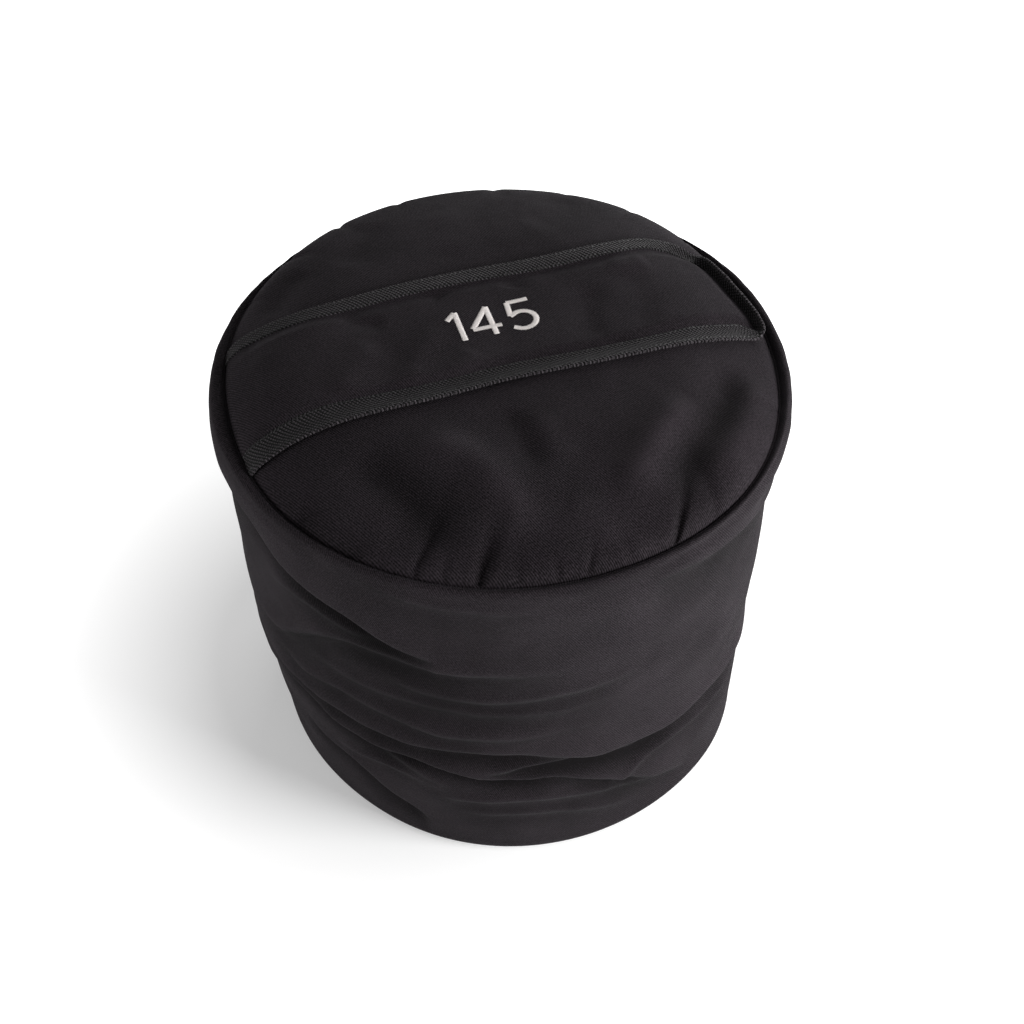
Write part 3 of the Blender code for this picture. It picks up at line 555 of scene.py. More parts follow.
def seam_tape(name, radius, raw_edge, side, replaced):
    """Tape folded over a seam's two raw edges. side is 1 where they point up, -1 down."""
    outline = [(radius + out, raw_edge + side * up) for out, up in SEAM_TAPE_FOLD]
    outline.insert(0, (outline[0][0], raw_edge - side * SEAM_TAPE_DEPTH))
    outline.append((outline[-1][0], raw_edge - side * SEAM_TAPE_DEPTH))
    line = smooth_line(outline, SEAM_TAPE_STEP)
    tape = turned_piece(name, line, binding_tape.material, SEAM_TAPE_TURNS, *SEAM_TAPE_LUMPS)
    thicken(tape, SEAM_TAPE_THICKNESS, 0)
    face_outwards(tape)
    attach(tape, "bag")
    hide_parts(replaced)


seam_tape("base_seam_tape", BASE_SEAM_RADIUS, SEAM_ALLOWANCE, 1, "base_seam_binding")

# Side wall. One length of twill runs round the bag. The sand's weight pushes it out, so it hangs
# in swags and creases, rolls out over the rim, and turns in at both seams.
# Its outline as (radius, height): up inside the top seam, out over the rim and down to the foot
WALL_LINE = [
    (0.19525, 0.3232), (0.19525, 0.3300), (0.1957, 0.3350), (0.1972, 0.3387), (0.1998, 0.3402),
    (0.2023, 0.3388), (0.2036, 0.3345), (0.2036, 0.3280), (0.2018, 0.3190), (0.1998, 0.3080),
    (0.1992, 0.2900), (0.1994, 0.2600), (0.1990, 0.2200), (0.1988, 0.1800), (0.1972, 0.1400),
    (0.1945, 0.1000), (0.1918, 0.0600), (0.1898, 0.0300), (0.1890, 0.0140), (0.1888, 0.0070),
    (0.1874, 0.0030), (0.1850, 0.0012), (0.1822, 0.0010), (0.1806, 0.0030), (0.18025, 0.0070),
    (0.18025, 0.0120),
]
# The same at the front, where the cloth turns straight over from the seam without a roll
# before it joins the rest of the outline
FRONT_LINE = [
    (0.19525, 0.3232), (0.19525, 0.3295), (0.1956, 0.3332), (0.1968, 0.3352), (0.1984, 0.3354),
    (0.1998, 0.3340), (0.2007, 0.3310), (0.2011, 0.3260), (0.2010, 0.3180), (0.2006, 0.3080),
    (0.2000, 0.2900), (0.1996, 0.2600),
] + WALL_LINE[12:]
# How far the wall has the front's profile, by angle in degrees
FRONT_SHARES = [(-62, 1), (-42, 0.4), (-18, 0), (178, 0), (194, 0.4), (216, 1)]
WALL_ROW = 0.00175
# The wall's columns, closer together where the folds are fine: from, to and how many
FRONT_COLUMNS = (-210, -5, 290)
BACK_COLUMNS = (-5, 150, 130)
INNERMOST = BASE_SEAM_RADIUS + 0.0002
WALL_WAVE = 0.0009
WALL_WAVE_SPAN = (0.10, 0.10, 0.028)
SEAM_GATHER = 0.0006
SEAM_GATHER_SPAN = 0.012
SEAM_GATHER_TOP = 0.334
SEAM_GATHER_REACH = 0.020
# Where each part of the wall starts and over what length it fades in: by the length of cloth from
# its top edge (ALONG), by height (ABOVE) or by radius (BEYOND)
SIDE_ALONG = (0.022, 0.010)
SIDE_ABOVE = (0.003, 0.012)
GATHER_ALONG = (0.010, 0.008)
SEAM_ABOVE = (0.329, 0.006)
OUTSIDE_SEAM_BEYOND = (0.1965, 0.006)
RIM_ABOVE = (0.3335, 0.005)
RIM_BEYOND = (0.1957, 0.002)
ROLL_BEYOND = (0.1965, 0.004)
ROLL_MIDDLE = 0.331
ROLL_HALF_HEIGHT = 0.010
FOOT_TOP = 0.135
FOOT_TURN_IN = 0.009
# What varies round the bag, by angle in degrees: how far the foot and the seam stray outwards
# from their circles, how much less the rim sticks out than at its sides, and how much lower it is
FOOT_STRAY = [
    (-24, 0.0065), (0, 0.0030), (30, 0), (100, -0.0030), (150, -0.0050), (170, -0.0050),
    (205, -0.0050), (218, -0.0035), (235, 0.0010), (252, 0.0042), (270, 0.0062), (290, 0.0080),
    (312, 0.0112), (326, 0.0092),
]
SEAM_STRAY = [
    (-12, -0.0004), (2, -0.0008), (14, 0.0002), (28, 0.0036), (42, 0.0050), (115, 0.0045),
    (138, 0.0030), (150, 0.0015), (160, -0.0005), (172, -0.0030), (181, -0.0035), (196, -0.0015),
    (215, 0), (278, 0), (296, 0.0028), (310, 0.0040), (322, 0.0034), (336, 0.0012),
]
RIM_FLATNESS = [
    (-20, -0.0010), (0, 0), (40, 0.0016), (115, 0.0016), (150, 0), (182, 0), (198, 0.0014),
    (212, 0), (300, 0), (316, -0.0040), (330, -0.0028),
]
RIM_DROPS = [
    (-30, 0.0008), (-10, 0), (12, 0.0005), (40, 0.0062), (115, 0.0062), (140, 0.0020), (160, 0),
    (300, 0),
]
ANGLE_SMOOTHING = 25

# Each fold has points of (angle in degrees, height, share of its strength), then how far the cloth
# stands out above that line and draws in below it, how far up and down this reaches, and how soft
# its edge is.
SWAGS = {
    "long_fold": (
        [(-204, 0.290, 0), (-190, 0.300, 0.3), (-178, 0.306, 0.7), (-163, 0.302, 0.9),
         (-154, 0.292, 1), (-146, 0.284, 1), (-138, 0.278, 1), (-131, 0.268, 1), (-126, 0.261, 0.7),
         (-123, 0.258, 0.4), (-120, 0.256, 0)],
        0.0040, 0.0062, 0.034, 0.0060, 0.0026,
    ),
    "second_fold": (
        [(-160, 0.257, 0), (-154, 0.260, 0.5), (-148, 0.261, 0.9), (-142, 0.259, 1),
         (-133, 0.258, 0.8), (-126, 0.254, 0)],
        0.0036, 0.0016, 0.008, 0.008, 0.0046,
    ),
    "third_fold": (
        [(-176, 0.180, 0), (-172, 0.184, 0.4), (-161, 0.194, 0.7), (-154, 0.212, 0.9),
         (-148, 0.229, 1), (-140, 0.243, 1), (-133, 0.245, 1), (-127, 0.245, 1), (-120, 0.243, 1),
         (-111, 0.245, 0.6), (-102, 0.244, 0.3), (-92, 0.244, 0)],
        0.0042, 0.0036, 0.012, 0.0085, 0.0044,
    ),
    "rim_fold_left": (
        [(-209, 0.317, 0), (-200, 0.318, 0.6), (-190, 0.318, 1), (-176, 0.315, 0.8),
         (-166, 0.312, 0.4), (-156, 0.315, 0)],
        0.0024, 0.0020, 0.009, 0.012, 0.0034,
    ),
    "rim_fold_front": (
        [(-150, 0.334, 0), (-136, 0.328, 0.8), (-126, 0.319, 1), (-111, 0.315, 0.8),
         (-100, 0.312, 0)],
        0.0016, 0.0008, 0.010, 0.010, 0.0050,
    ),
    "rim_fold_right": (
        [(-78, 0.315, 0), (-74, 0.313, 0.5), (-64, 0.308, 0.9), (-52, 0.299, 1), (-38, 0.284, 1),
         (-22, 0.276, 0.8), (-5, 0.280, 0)],
        0.0034, 0.0028, 0.018, 0.012, 0.0048,
    ),
    "middle_fold_high": (
        [(-132, 0.220, 0), (-122, 0.213, 0.9), (-114, 0.212, 1), (-104, 0.213, 1),
         (-95, 0.217, 0.8), (-88, 0.217, 0.6), (-78, 0.220, 0)],
        0.0028, 0.0020, 0.008, 0.007, 0.0046,
    ),
    "middle_fold": (
        [(-153, 0.199, 0), (-142, 0.200, 0.8), (-132, 0.200, 1), (-120, 0.198, 1),
         (-104, 0.195, 0.8), (-90, 0.196, 0.3), (-80, 0.198, 0)],
        0.0022, 0.0014, 0.008, 0.008, 0.0046,
    ),
    "row_fold": (
        [(-168, 0.164, 0), (-160, 0.168, 0.4), (-152, 0.170, 0.9), (-143, 0.178, 1),
         (-132, 0.175, 1), (-122, 0.169, 1), (-111, 0.168, 0.8), (-98, 0.170, 0.3), (-86, 0.172, 0)],
        0.0030, 0.0022, 0.010, 0.008, 0.0044,
    ),
    "long_swag": (
        [(-188, 0.140, 0), (-172, 0.146, 0.4), (-159, 0.146, 0.8), (-147, 0.148, 0.9),
         (-136, 0.148, 0.9), (-125, 0.146, 1), (-115, 0.147, 1), (-104, 0.146, 1), (-95, 0.137, 1),
         (-87, 0.128, 1), (-79, 0.124, 1), (-70, 0.119, 1), (-63, 0.116, 1), (-56, 0.118, 0.9),
         (-46, 0.112, 0.8), (-36, 0.110, 0.6), (-25, 0.112, 0)],
        0.0042, 0.0044, 0.022, 0.0065, 0.0036,
    ),
    "right_crease": (
        [(-112, 0.122, 0), (-107, 0.124, 0.6), (-102, 0.127, 1), (-95, 0.127, 1), (-87, 0.121, 1),
         (-81, 0.116, 0.8), (-74, 0.112, 0.6), (-66, 0.110, 0)],
        0.0026, 0.0046, 0.010, 0.0052, 0.0022,
    ),
    "right_ridge": (
        [(-84, 0.066, 0), (-80, 0.077, 0.6), (-75, 0.090, 1), (-67, 0.092, 1), (-59, 0.090, 1),
         (-50, 0.086, 0.9), (-42, 0.083, 0.6), (-32, 0.085, 0)],
        0.0040, 0.0016, 0.008, 0.008, 0.0036,
    ),
    "left_ridge": (
        [(-140, 0.118, 0), (-136, 0.114, 0.8), (-129, 0.107, 1), (-123, 0.094, 0.6),
         (-118, 0.088, 0)],
        0.0030, 0.0010, 0.008, 0.006, 0.0040,
    ),
    "lower_edge": (
        [(-198, 0.112, 0), (-184, 0.119, 0.4), (-172, 0.124, 0.7), (-159, 0.130, 0.9),
         (-152, 0.129, 1), (-146, 0.125, 1), (-139, 0.124, 1), (-132, 0.124, 1), (-126, 0.124, 1),
         (-120, 0.119, 1), (-114, 0.115, 1), (-109, 0.112, 1), (-104, 0.110, 0.9),
         (-94, 0.104, 0.7), (-80, 0.076, 0.5), (-68, 0.046, 0.3), (-60, 0.030, 0)],
        0.0046, 0.0064, 0.024, 0.0052, 0.0020,
    ),
    "foot_ridge": (
        [(-122, 0.072, 0), (-114, 0.075, 1), (-104, 0.077, 1), (-94, 0.075, 1), (-82, 0.064, 0.8),
         (-73, 0.050, 0.5), (-66, 0.040, 0)],
        0.0030, 0.0018, 0.008, 0.008, 0.0040,
    ),
    "foot_line": (
        [(-118, 0.052, 0), (-110, 0.054, 0.8), (-98, 0.054, 0.8), (-88, 0.046, 0.8),
         (-76, 0.030, 0)],
        0.0026, 0.0016, 0.008, 0.008, 0.0040,
    ),
    "foot_hollow_left": (
        [(-160, 0.078, 0), (-153, 0.075, 0.8), (-146, 0.074, 1), (-140, 0.066, 1), (-134, 0.052, 1),
         (-128, 0.041, 0.8), (-124, 0.029, 0)],
        0.0026, 0.0056, 0.012, 0.0060, 0.0028,
    ),
    "foot_ridge_left": (
        [(-148, 0.088, 0), (-143, 0.090, 0.8), (-135, 0.095, 1), (-129, 0.093, 0.8),
         (-123, 0.084, 0.4), (-118, 0.080, 0)],
        0.0030, 0.0010, 0.007, 0.006, 0.0040,
    ),
    "back_fold_high": (
        [(-20, 0.268, 0), (5, 0.276, 0.6), (30, 0.262, 1), (58, 0.246, 1), (84, 0.252, 0.8),
         (108, 0.270, 0)],
        0.0030, 0.0030, 0.022, 0.009, 0.0030,
    ),
    "back_fold": (
        [(40, 0.212, 0), (62, 0.200, 0.9), (92, 0.196, 1), (120, 0.206, 1), (142, 0.222, 0.4),
         (149, 0.228, 0)],
        0.0024, 0.0018, 0.014, 0.009, 0.0034,
    ),
    "back_swag": (
        [(-12, 0.120, 0), (10, 0.128, 0.8), (40, 0.140, 1), (75, 0.132, 1), (105, 0.136, 1),
         (132, 0.148, 0.8), (149, 0.150, 0)],
        0.0034, 0.0044, 0.022, 0.010, 0.0024,
    ),
    "back_foot": (
        [(-15, 0.070, 0), (15, 0.080, 0.8), (50, 0.070, 1), (90, 0.076, 1), (125, 0.088, 0.8),
         (145, 0.098, 0)],
        0.0024, 0.0022, 0.012, 0.008, 0.0030,
    ),
}

# How far a fold's line strays and how uneven it is. How much painted light each metre of fold puts
# along its crest, and how much painted shade in its hollow and in the narrow crack beneath the crest.
FOLD_STRAY = 0.0014
FOLD_STRAY_SPAN = 0.028
FOLD_UNEVENNESS = 0.35
CREST_PAINTED_LIGHT = 30
CREASE_PAINTED_SHADE = 100
CRACK_PAINTED_SHADE = 240
CRACK_DROP = 0.0022
CRACK_HALF_WIDTH = 0.0022
CREASE_SOFTNESS = 0.6
# What a fold's angle, height and strength are divided by while its line is smoothed
FOLD_SCALES = np.array([1000, 1, 10])
FOLD_STEP = 0.001


def bell(offset, width):
    """1 at no offset, and nearly 0 beyond twice the width."""
    return np.exp(-(offset / width) ** 2)


def swag_relief(angle, height):
    """How far the folds push the wall out or let it sag, and the light painted on their crests and the
    shade painted in their hollows.
    """
    out = np.zeros(angle.shape)
    light_and_shade = np.zeros(angle.shape)
    place = spread(np.radians(angle[:1]) * SEAM_RADIUS, 0, 0)
    for number, (points, rise, draw, reach_up, reach_down, softness) in enumerate(SWAGS.values()):
        line = smooth_line(np.array(points) / FOLD_SCALES, FOLD_STEP) * FOLD_SCALES
        degrees, heights, shares = line.T
        middle = np.interp(angle, degrees, heights)
        slope = np.gradient(heights, np.radians(degrees) * SEAM_RADIUS)
        tilt = np.interp(angle, degrees, slope)
        offset = (height - middle) / np.sqrt(1 + tilt ** 2)
        offset = offset + FOLD_STRAY * lumps(place, FOLD_STRAY_SPAN, number)
        strength = np.interp(angle, degrees, np.clip(shares, 0, 1), left=0, right=0)
        strength = strength * (1 + FOLD_UNEVENNESS * lumps(place, FOLD_STRAY_SPAN, number + 0.5))
        crest = (0.5 + 0.5 * np.tanh(offset / softness)) * bell(offset, reach_up) * rise
        soft = softness * CREASE_SOFTNESS
        below = soft * np.log1p(np.exp(-offset / soft)) / reach_down
        crease = draw * below * np.exp(1 - below)
        crack = draw * bell(offset + CRACK_DROP, CRACK_HALF_WIDTH)
        out += strength * (crest - crease)
        light_and_shade += strength * (CREST_PAINTED_LIGHT * crest - CREASE_PAINTED_SHADE * crease - CRACK_PAINTED_SHADE * crack)
    return out, light_and_shade


def at_angle(table, degrees):
    """The value of a table of (angle, value) at each angle, smoothed all the way round."""
    every = np.arange(360)
    angles, values = zip(*sorted((angle % 360, value) for angle, value in table))
    weights = np.hanning(ANGLE_SMOOTHING)
    steps = np.tile(np.interp(every, angles, values, period=360), 3)
    smooth = np.convolve(steps, weights / weights.sum(), "same")[360:720]
    return np.interp(np.asarray(degrees) % 360, every, smooth, period=360)


def wall_face():
    """The wall's outer face as a grid of points, each point's place on the flat cloth, and the light
    and shade painted into the cloth there."""
    line = smooth_line(WALL_LINE, WALL_ROW)
    line[:, 0] = np.maximum(line[:, 0], INNERMOST)
    run = travelled(line)
    normal = left_of(line)
    front_line = smooth_line(FRONT_LINE, WALL_ROW)
    rows = np.arange(len(front_line))
    front_line = points_at(front_line, rows, np.linspace(0, rows[-1], len(line)))
    columns = [np.linspace(*ends, endpoint=False) for ends in (FRONT_COLUMNS, BACK_COLUMNS)]
    degrees = np.concatenate(columns)
    front_share = at_angle(FRONT_SHARES, degrees)
    radius = line[:, :1] + (front_line - line)[:, :1] * front_share
    radius = np.maximum(radius, INNERMOST)
    height = line[:, 1:] + (front_line - line)[:, 1:] * front_share
    angle = degrees + 0 * height
    turn = np.radians(angle)
    around = spread(np.cos(turn), np.sin(turn), 0)

    on_side = smooth_step(run, *SIDE_ALONG) * smooth_step(line[:, 1], *SIDE_ABOVE)
    place = around * SEAM_RADIUS + spread(0, 0, height)
    waves = WALL_WAVE * lumps(place, WALL_WAVE_SPAN, seed=2.5)
    gather = SEAM_GATHER * lumps(around * SEAM_RADIUS, SEAM_GATHER_SPAN, seed=9.5)
    gather = gather * np.exp(-np.maximum(SEAM_GATHER_TOP - height, 0) / SEAM_GATHER_REACH)
    folds, light_and_shade = swag_relief(angle, height)
    out = (folds + waves) * on_side[:, None] + gather * smooth_step(run, *GATHER_ALONG)[:, None]

    at_seam = smooth_step(line[:, 1], *SEAM_ABOVE) * (1 - smooth_step(line[:, 0], *OUTSIDE_SEAM_BEYOND))
    at_seam = np.where(run < sum(SIDE_ALONG), at_seam, 0)
    at_rim = smooth_step(line[:, 1], *RIM_ABOVE) * smooth_step(line[:, 0], *RIM_BEYOND)
    rolled = bell(line[:, 1] - ROLL_MIDDLE, ROLL_HALF_HEIGHT) * smooth_step(line[:, 0], *ROLL_BEYOND)
    radius = radius + at_seam[:, None] * at_angle(SEAM_STRAY, degrees)
    radius = radius - rolled[:, None] * at_angle(RIM_FLATNESS, degrees)
    height = height - at_rim[:, None] * at_angle(RIM_DROPS, degrees)
    low = np.clip((FOOT_TOP - height) / FOOT_TOP, 0, 1)
    low = low * np.clip((radius - BASE_SEAM_RADIUS) / FOOT_TURN_IN, 0, 1)
    radius = radius + out * normal[:, :1] + low * at_angle(FOOT_STRAY, degrees)
    height = height + out * normal[:, 1:]
    flat = spread(turn * SEAM_RADIUS, -run[:, None])
    return around * radius[..., None] + spread(0, 0, height), flat, light_and_shade * on_side[:, None]


wall_points, wall_flat, wall_light_and_shade = wall_face()

# The wall's inner face has fewer rows than its outer face, and stays inside all of those near it
LINING_ROWS = 26
LINING_REACH = 6
TOP_TURN_ROWS = 14
FOOT_TURN_ROWS = 12


def lining_face(points, thickness):
    """The rows of the inner face, from the foot up, so that they close the grid into a solid."""
    radius = np.linalg.norm(points[..., :2], axis=-1)
    inner = []
    for pick in np.linspace(len(points) - 1, 0, LINING_ROWS).astype(int):
        near = slice(max(pick - LINING_REACH, 0), pick + LINING_REACH + 1)
        on_side = TOP_TURN_ROWS < pick < len(points) - FOOT_TURN_ROWS
        beside = radius[near].min(axis=0) if on_side else radius[pick]
        scale = (beside - thickness) / radius[pick]
        inner.append(points[pick] * spread(scale, scale, 1))
    return np.array(inner)


lining_flat = spread(wall_flat[0, :, 0], np.linspace(wall_flat[-1, 0, 1], 0, LINING_ROWS)[:, None])
wall = grid_piece(
    "wall_cloth", np.concatenate([wall_points, lining_face(wall_points, CLOTH)]), shell.material,
    np.concatenate([wall_flat, lining_flat]), close_across=True, close_along=True
)
wall.data.flip_normals()
# Painted light on the fold crests and painted shade in their hollows and cracks; none on the lining
paint_light_and_shade(wall, np.concatenate([wall_light_and_shade, 0 * lining_flat[..., 0]]))
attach(wall, "bag")
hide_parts("side_wall")

# Tape covers the wall's own upright seam, inside at the back. UPRIGHT_RADII has its height and
# how far out it lies there.
UPRIGHT_TOP = 0.310
UPRIGHT_FOOT = 0.022
UPRIGHT_HALF_WIDTH = 0.0150
UPRIGHT_THICKNESS = 0.001
UPRIGHT_RADII = [(0.02, 0.1810), (0.10, 0.1850), (0.20, 0.1900), (0.31, 0.1905)]

upright = np.linspace(UPRIGHT_TOP, UPRIGHT_FOOT, 80)[:, None]
upright_across = np.linspace(-UPRIGHT_HALF_WIDTH, UPRIGHT_HALF_WIDTH, 12)
upright_radius = np.interp(upright, *zip(*UPRIGHT_RADII))
upright_turn = math.pi / 2 + upright_across / SEAM_RADIUS
upright_points = spread(
    upright_radius * np.cos(upright_turn), upright_radius * np.sin(upright_turn), upright
)
upright_tape = grid_piece(
    "wall_seam_tape", upright_points, binding_tape.material, spread(upright, upright_across)
)
thicken(upright_tape, UPRIGHT_THICKNESS)
face_outwards(upright_tape)
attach(upright_tape, "bag")
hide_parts("side_seam_binding")

# Top. Two panels of the same twill, front and back of the zip. The fill crowns them, and they
# pucker where their round edge is eased into the seam. A slot between them shows the zip.
ZIP_Y = 0.013
PLATEAU = 0.023
PANEL_SWELL = 0.0275
BEND_SOFTNESS = 0.0016
TROUGH_HALF_WIDTH = 0.036
TROUGH_SIDE = 0.020
TROUGH_END = 0.012
TROUGH_END_SIDE = 0.016
SLOT_HALF_WIDTH = 0.011
SLOT_LEFT = -0.1146
SLOT_RIGHT = 0.1346
PANEL_EDGE = 0.19485
PANEL_GAP = 0.0002
PANEL_WAVE = 0.0014
PANEL_WAVE_SPAN = 0.055
PANEL_WAVE_FADE = 0.02
LOOSE_BESIDE_ZIP = (0.030, 0.020)
# How far below the seam the rows of the turned-down edge lie
SKIRT_DEPTHS = [0.0118, 0.0080, 0.0055, 0.0035]
# How much of a smooth step the rows' spacing follows, so that they are closer at the seam
ROW_SPACING = 0.62
# How much each metre that the folds raise or lower the panels paints them lighter on ridges and darker
# in hollows, as painted light and shade
TOP_PAINTED_SHADING = 45
SHOULDER_REACH = 0.0042
SHOULDER_FADE = 0.07
SEAM_TUCK = 0.0020
SEAM_TUCK_REACH = 0.0016
PUCKER_WIDTH_AT_SEAM = 0.45
PUCKER_START = 0.003
# The share of its length over which a hollow fades at each end
HOLLOW_ENDS = (-0.045, 0.3)
HOLLOW_STEP = 0.008
# How far the panels' shoulder stands up just inside the seam, at each angle in degrees
SHOULDER_RISES = [(-30, 0.0030), (0, 0.0025), (14, 0.0032), (28, 0.0098), (44, 0.0122),
                  (70, 0.0108), (115, 0.0106), (140, 0.0062), (158, 0.0034), (195, 0.0026),
                  (240, 0.0036), (275, 0.0050), (300, 0.0062), (318, 0.0058), (334, 0.0038)]
SEAM_PUCKERS = [
    # angle, depth, half width, reach inwards, lean in degrees
    (-111.5, 0.0044, 0.0075, 0.036, 3), (-123.5, 0.0028, 0.0060, 0.044, 2),
    (-104, 0.0012, 0.004, 0.012, 0), (-96.5, 0.0018, 0.0035, 0.010, 0),
    (-91, 0.0022, 0.0035, 0.012, 2), (-82, 0.0010, 0.005, 0.016, 0), (-73, 0.0040, 0.006, 0.022, 8),
    (-62, 0.0014, 0.009, 0.036, 6), (-47, 0.0007, 0.005, 0.014, 0), (-30, 0.0010, 0.006, 0.020, -4),
    (-118, 0.0014, 0.004, 0.014, 0), (-135, 0.0010, 0.005, 0.016, 0), (-150, 0.0012, 0.006, 0.020, 2),
    (-166, 0.0006, 0.004, 0.012, 0), (26, 0.0010, 0.006, 0.018, 0), (40, 0.0012, 0.007, 0.022, 3),
    (57, 0.0008, 0.005, 0.014, 0), (75, 0.0014, 0.007, 0.024, -3), (96, 0.0014, 0.006, 0.020, 2),
    (112, 0.0026, 0.006, 0.018, 0), (127, 0.0030, 0.006, 0.020, -2), (142, 0.0012, 0.006, 0.018, 0),
]
TOP_HOLLOWS = [
    # line of (x, y), depth (less than 0 stands up), half width
    ([(-0.125, -0.070), (-0.104, -0.100), (-0.088, -0.130), (-0.080, -0.160)], 0.0044, 0.015),
    ([(-0.082, -0.066), (-0.052, -0.100), (-0.040, -0.135), (-0.036, -0.168)], -0.0046, 0.015),
    ([(-0.014, -0.062), (-0.014, -0.090), (-0.012, -0.120)], 0.0018, 0.009),
    ([(0.003, -0.070), (0.004, -0.095), (0.006, -0.122)], -0.0013, 0.010),
    ([(0.150, -0.060), (0.132, -0.088), (0.110, -0.112), (0.085, -0.136),
      (0.066, -0.162)], 0.0054, 0.012),
    ([(0.166, -0.070), (0.146, -0.104), (0.122, -0.136), (0.100, -0.162)], -0.0030, 0.013),
    ([(0.106, -0.086), (0.078, -0.110), (0.050, -0.138), (0.032, -0.152)], -0.0046, 0.012),
    ([(-0.168, -0.082), (-0.150, -0.115), (-0.128, -0.142)], 0.0022, 0.014),
    ([(-0.148, -0.072), (-0.134, -0.100), (-0.110, -0.134)], -0.0014, 0.014),
    ([(-0.004, -0.150), (0.012, -0.166), (0.020, -0.182)], -0.0014, 0.012),
    ([(0.060, 0.110), (0.090, 0.130), (0.100, 0.155)], 0.0018, 0.016),
    ([(-0.080, 0.110), (-0.060, 0.140), (-0.050, 0.165)], 0.0022, 0.016),
    ([(-0.146, 0.086), (-0.130, 0.108), (-0.112, 0.130)], 0.0024, 0.012),
    ([(-0.010, 0.100), (0.004, 0.130), (0.002, 0.160)], -0.0014, 0.016),
]


def near_line(x, y, points):
    """Distance from each (x, y) to a line, and the share of the way along it."""
    nearest = np.full(np.shape(x), np.inf)
    share = np.zeros(np.shape(x))
    for index, (start, end) in enumerate(zip(points, points[1:])):
        way = end - start
        along = np.clip(((x - start[0]) * way[0] + (y - start[1]) * way[1]) / way.dot(way), 0, 1)
        distance = np.hypot(x - start[0] - along * way[0], y - start[1] - along * way[1])
        closer = distance < nearest
        nearest = np.where(closer, distance, nearest)
        share = np.where(closer, (index + along) / (len(points) - 1), share)
    return nearest, share


def hollow_relief(x, y, hollows):
    """How far hollows draw the cloth down, and ridges lift it."""
    down = np.zeros(np.shape(x))
    for points, depth, width in hollows:
        distance, share = near_line(x, y, smooth_line(points, HOLLOW_STEP))
        ends = smooth_step(share, *HOLLOW_ENDS) * smooth_step(1 - share, *HOLLOW_ENDS)
        down -= depth * bell(distance, width) * ends
    return down


def soft_lower(swell, limit):
    """The lower of two heights, with the bend between them rounded off."""
    both = np.exp(-swell / BEND_SOFTNESS) + math.exp(-limit / BEND_SOFTNESS)
    return -BEND_SOFTNESS * np.log(both)


def solid_top(x, y):
    """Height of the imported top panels' outer face."""
    return SEAM_HEIGHT + np.minimum(PLATEAU, crown(np.hypot(x, y)))


def rounded_top(x, y):
    """The same with the bend at the edge of its flat middle rounded off, and a little higher."""
    return SEAM_HEIGHT + BEND_SOFTNESS * math.log(2) + soft_lower(crown(np.hypot(x, y)), PLATEAU)


def edge_radius(x, y):
    """Radius of the panels' edge in the direction of each point."""
    return PANEL_EDGE + at_angle(SEAM_STRAY, np.degrees(np.arctan2(y, x)))


def inside_edge(x, y):
    """How far inside the panels' edge each point is."""
    return np.maximum(edge_radius(x, y) - np.hypot(x, y), 0)


def filled_top(x, y):
    """Height of the filled top where nothing presses on it."""
    swell = crown(np.hypot(x, y) * SEAM_RADIUS / edge_radius(x, y))
    return SEAM_HEIGHT + soft_lower(swell, PANEL_SWELL)


def shoulder(x, y):
    """The extra height of the panels' shoulder, which rises steeply from the seam."""
    rise = at_angle(SHOULDER_RISES, np.degrees(np.arctan2(y, x)))
    inwards = inside_edge(x, y)
    swell = rise * (1 - np.exp(-inwards / SHOULDER_REACH)) * np.exp(-inwards / SHOULDER_FADE)
    return swell - SEAM_TUCK * np.exp(-inwards / SEAM_TUCK_REACH)


def panel_top(x, y):
    """Height of the panels, which dip into a trough along the zip."""
    beside = smooth_step(np.abs(y - ZIP_Y), TROUGH_HALF_WIDTH, TROUGH_SIDE)
    at_end = 1 - smooth_step(inside_edge(x, y), TROUGH_END, TROUGH_END_SIDE)
    low = solid_top(x, y)
    return low + beside * (filled_top(x, y) - low) + np.maximum(beside, at_end) * shoulder(x, y)


def pucker_relief(x, y):
    """How far the puckers draw the cloth down near the seam."""
    degrees = np.degrees(np.arctan2(y, x))
    inwards = inside_edge(x, y)
    down = np.zeros(np.shape(x))
    for centre, depth, width, reach, lean in SEAM_PUCKERS:
        middle = centre + lean * inwards / reach
        offset = np.radians((degrees - middle + 180) % 360 - 180) * np.hypot(x, y)
        opening = PUCKER_WIDTH_AT_SEAM + (1 - PUCKER_WIDTH_AT_SEAM) * np.clip(inwards / reach, 0, 1)
        shape = bell(offset, width * opening) * bell(inwards, reach)
        down -= depth * shape * smooth_step(inwards, 0, PUCKER_START)
    return down


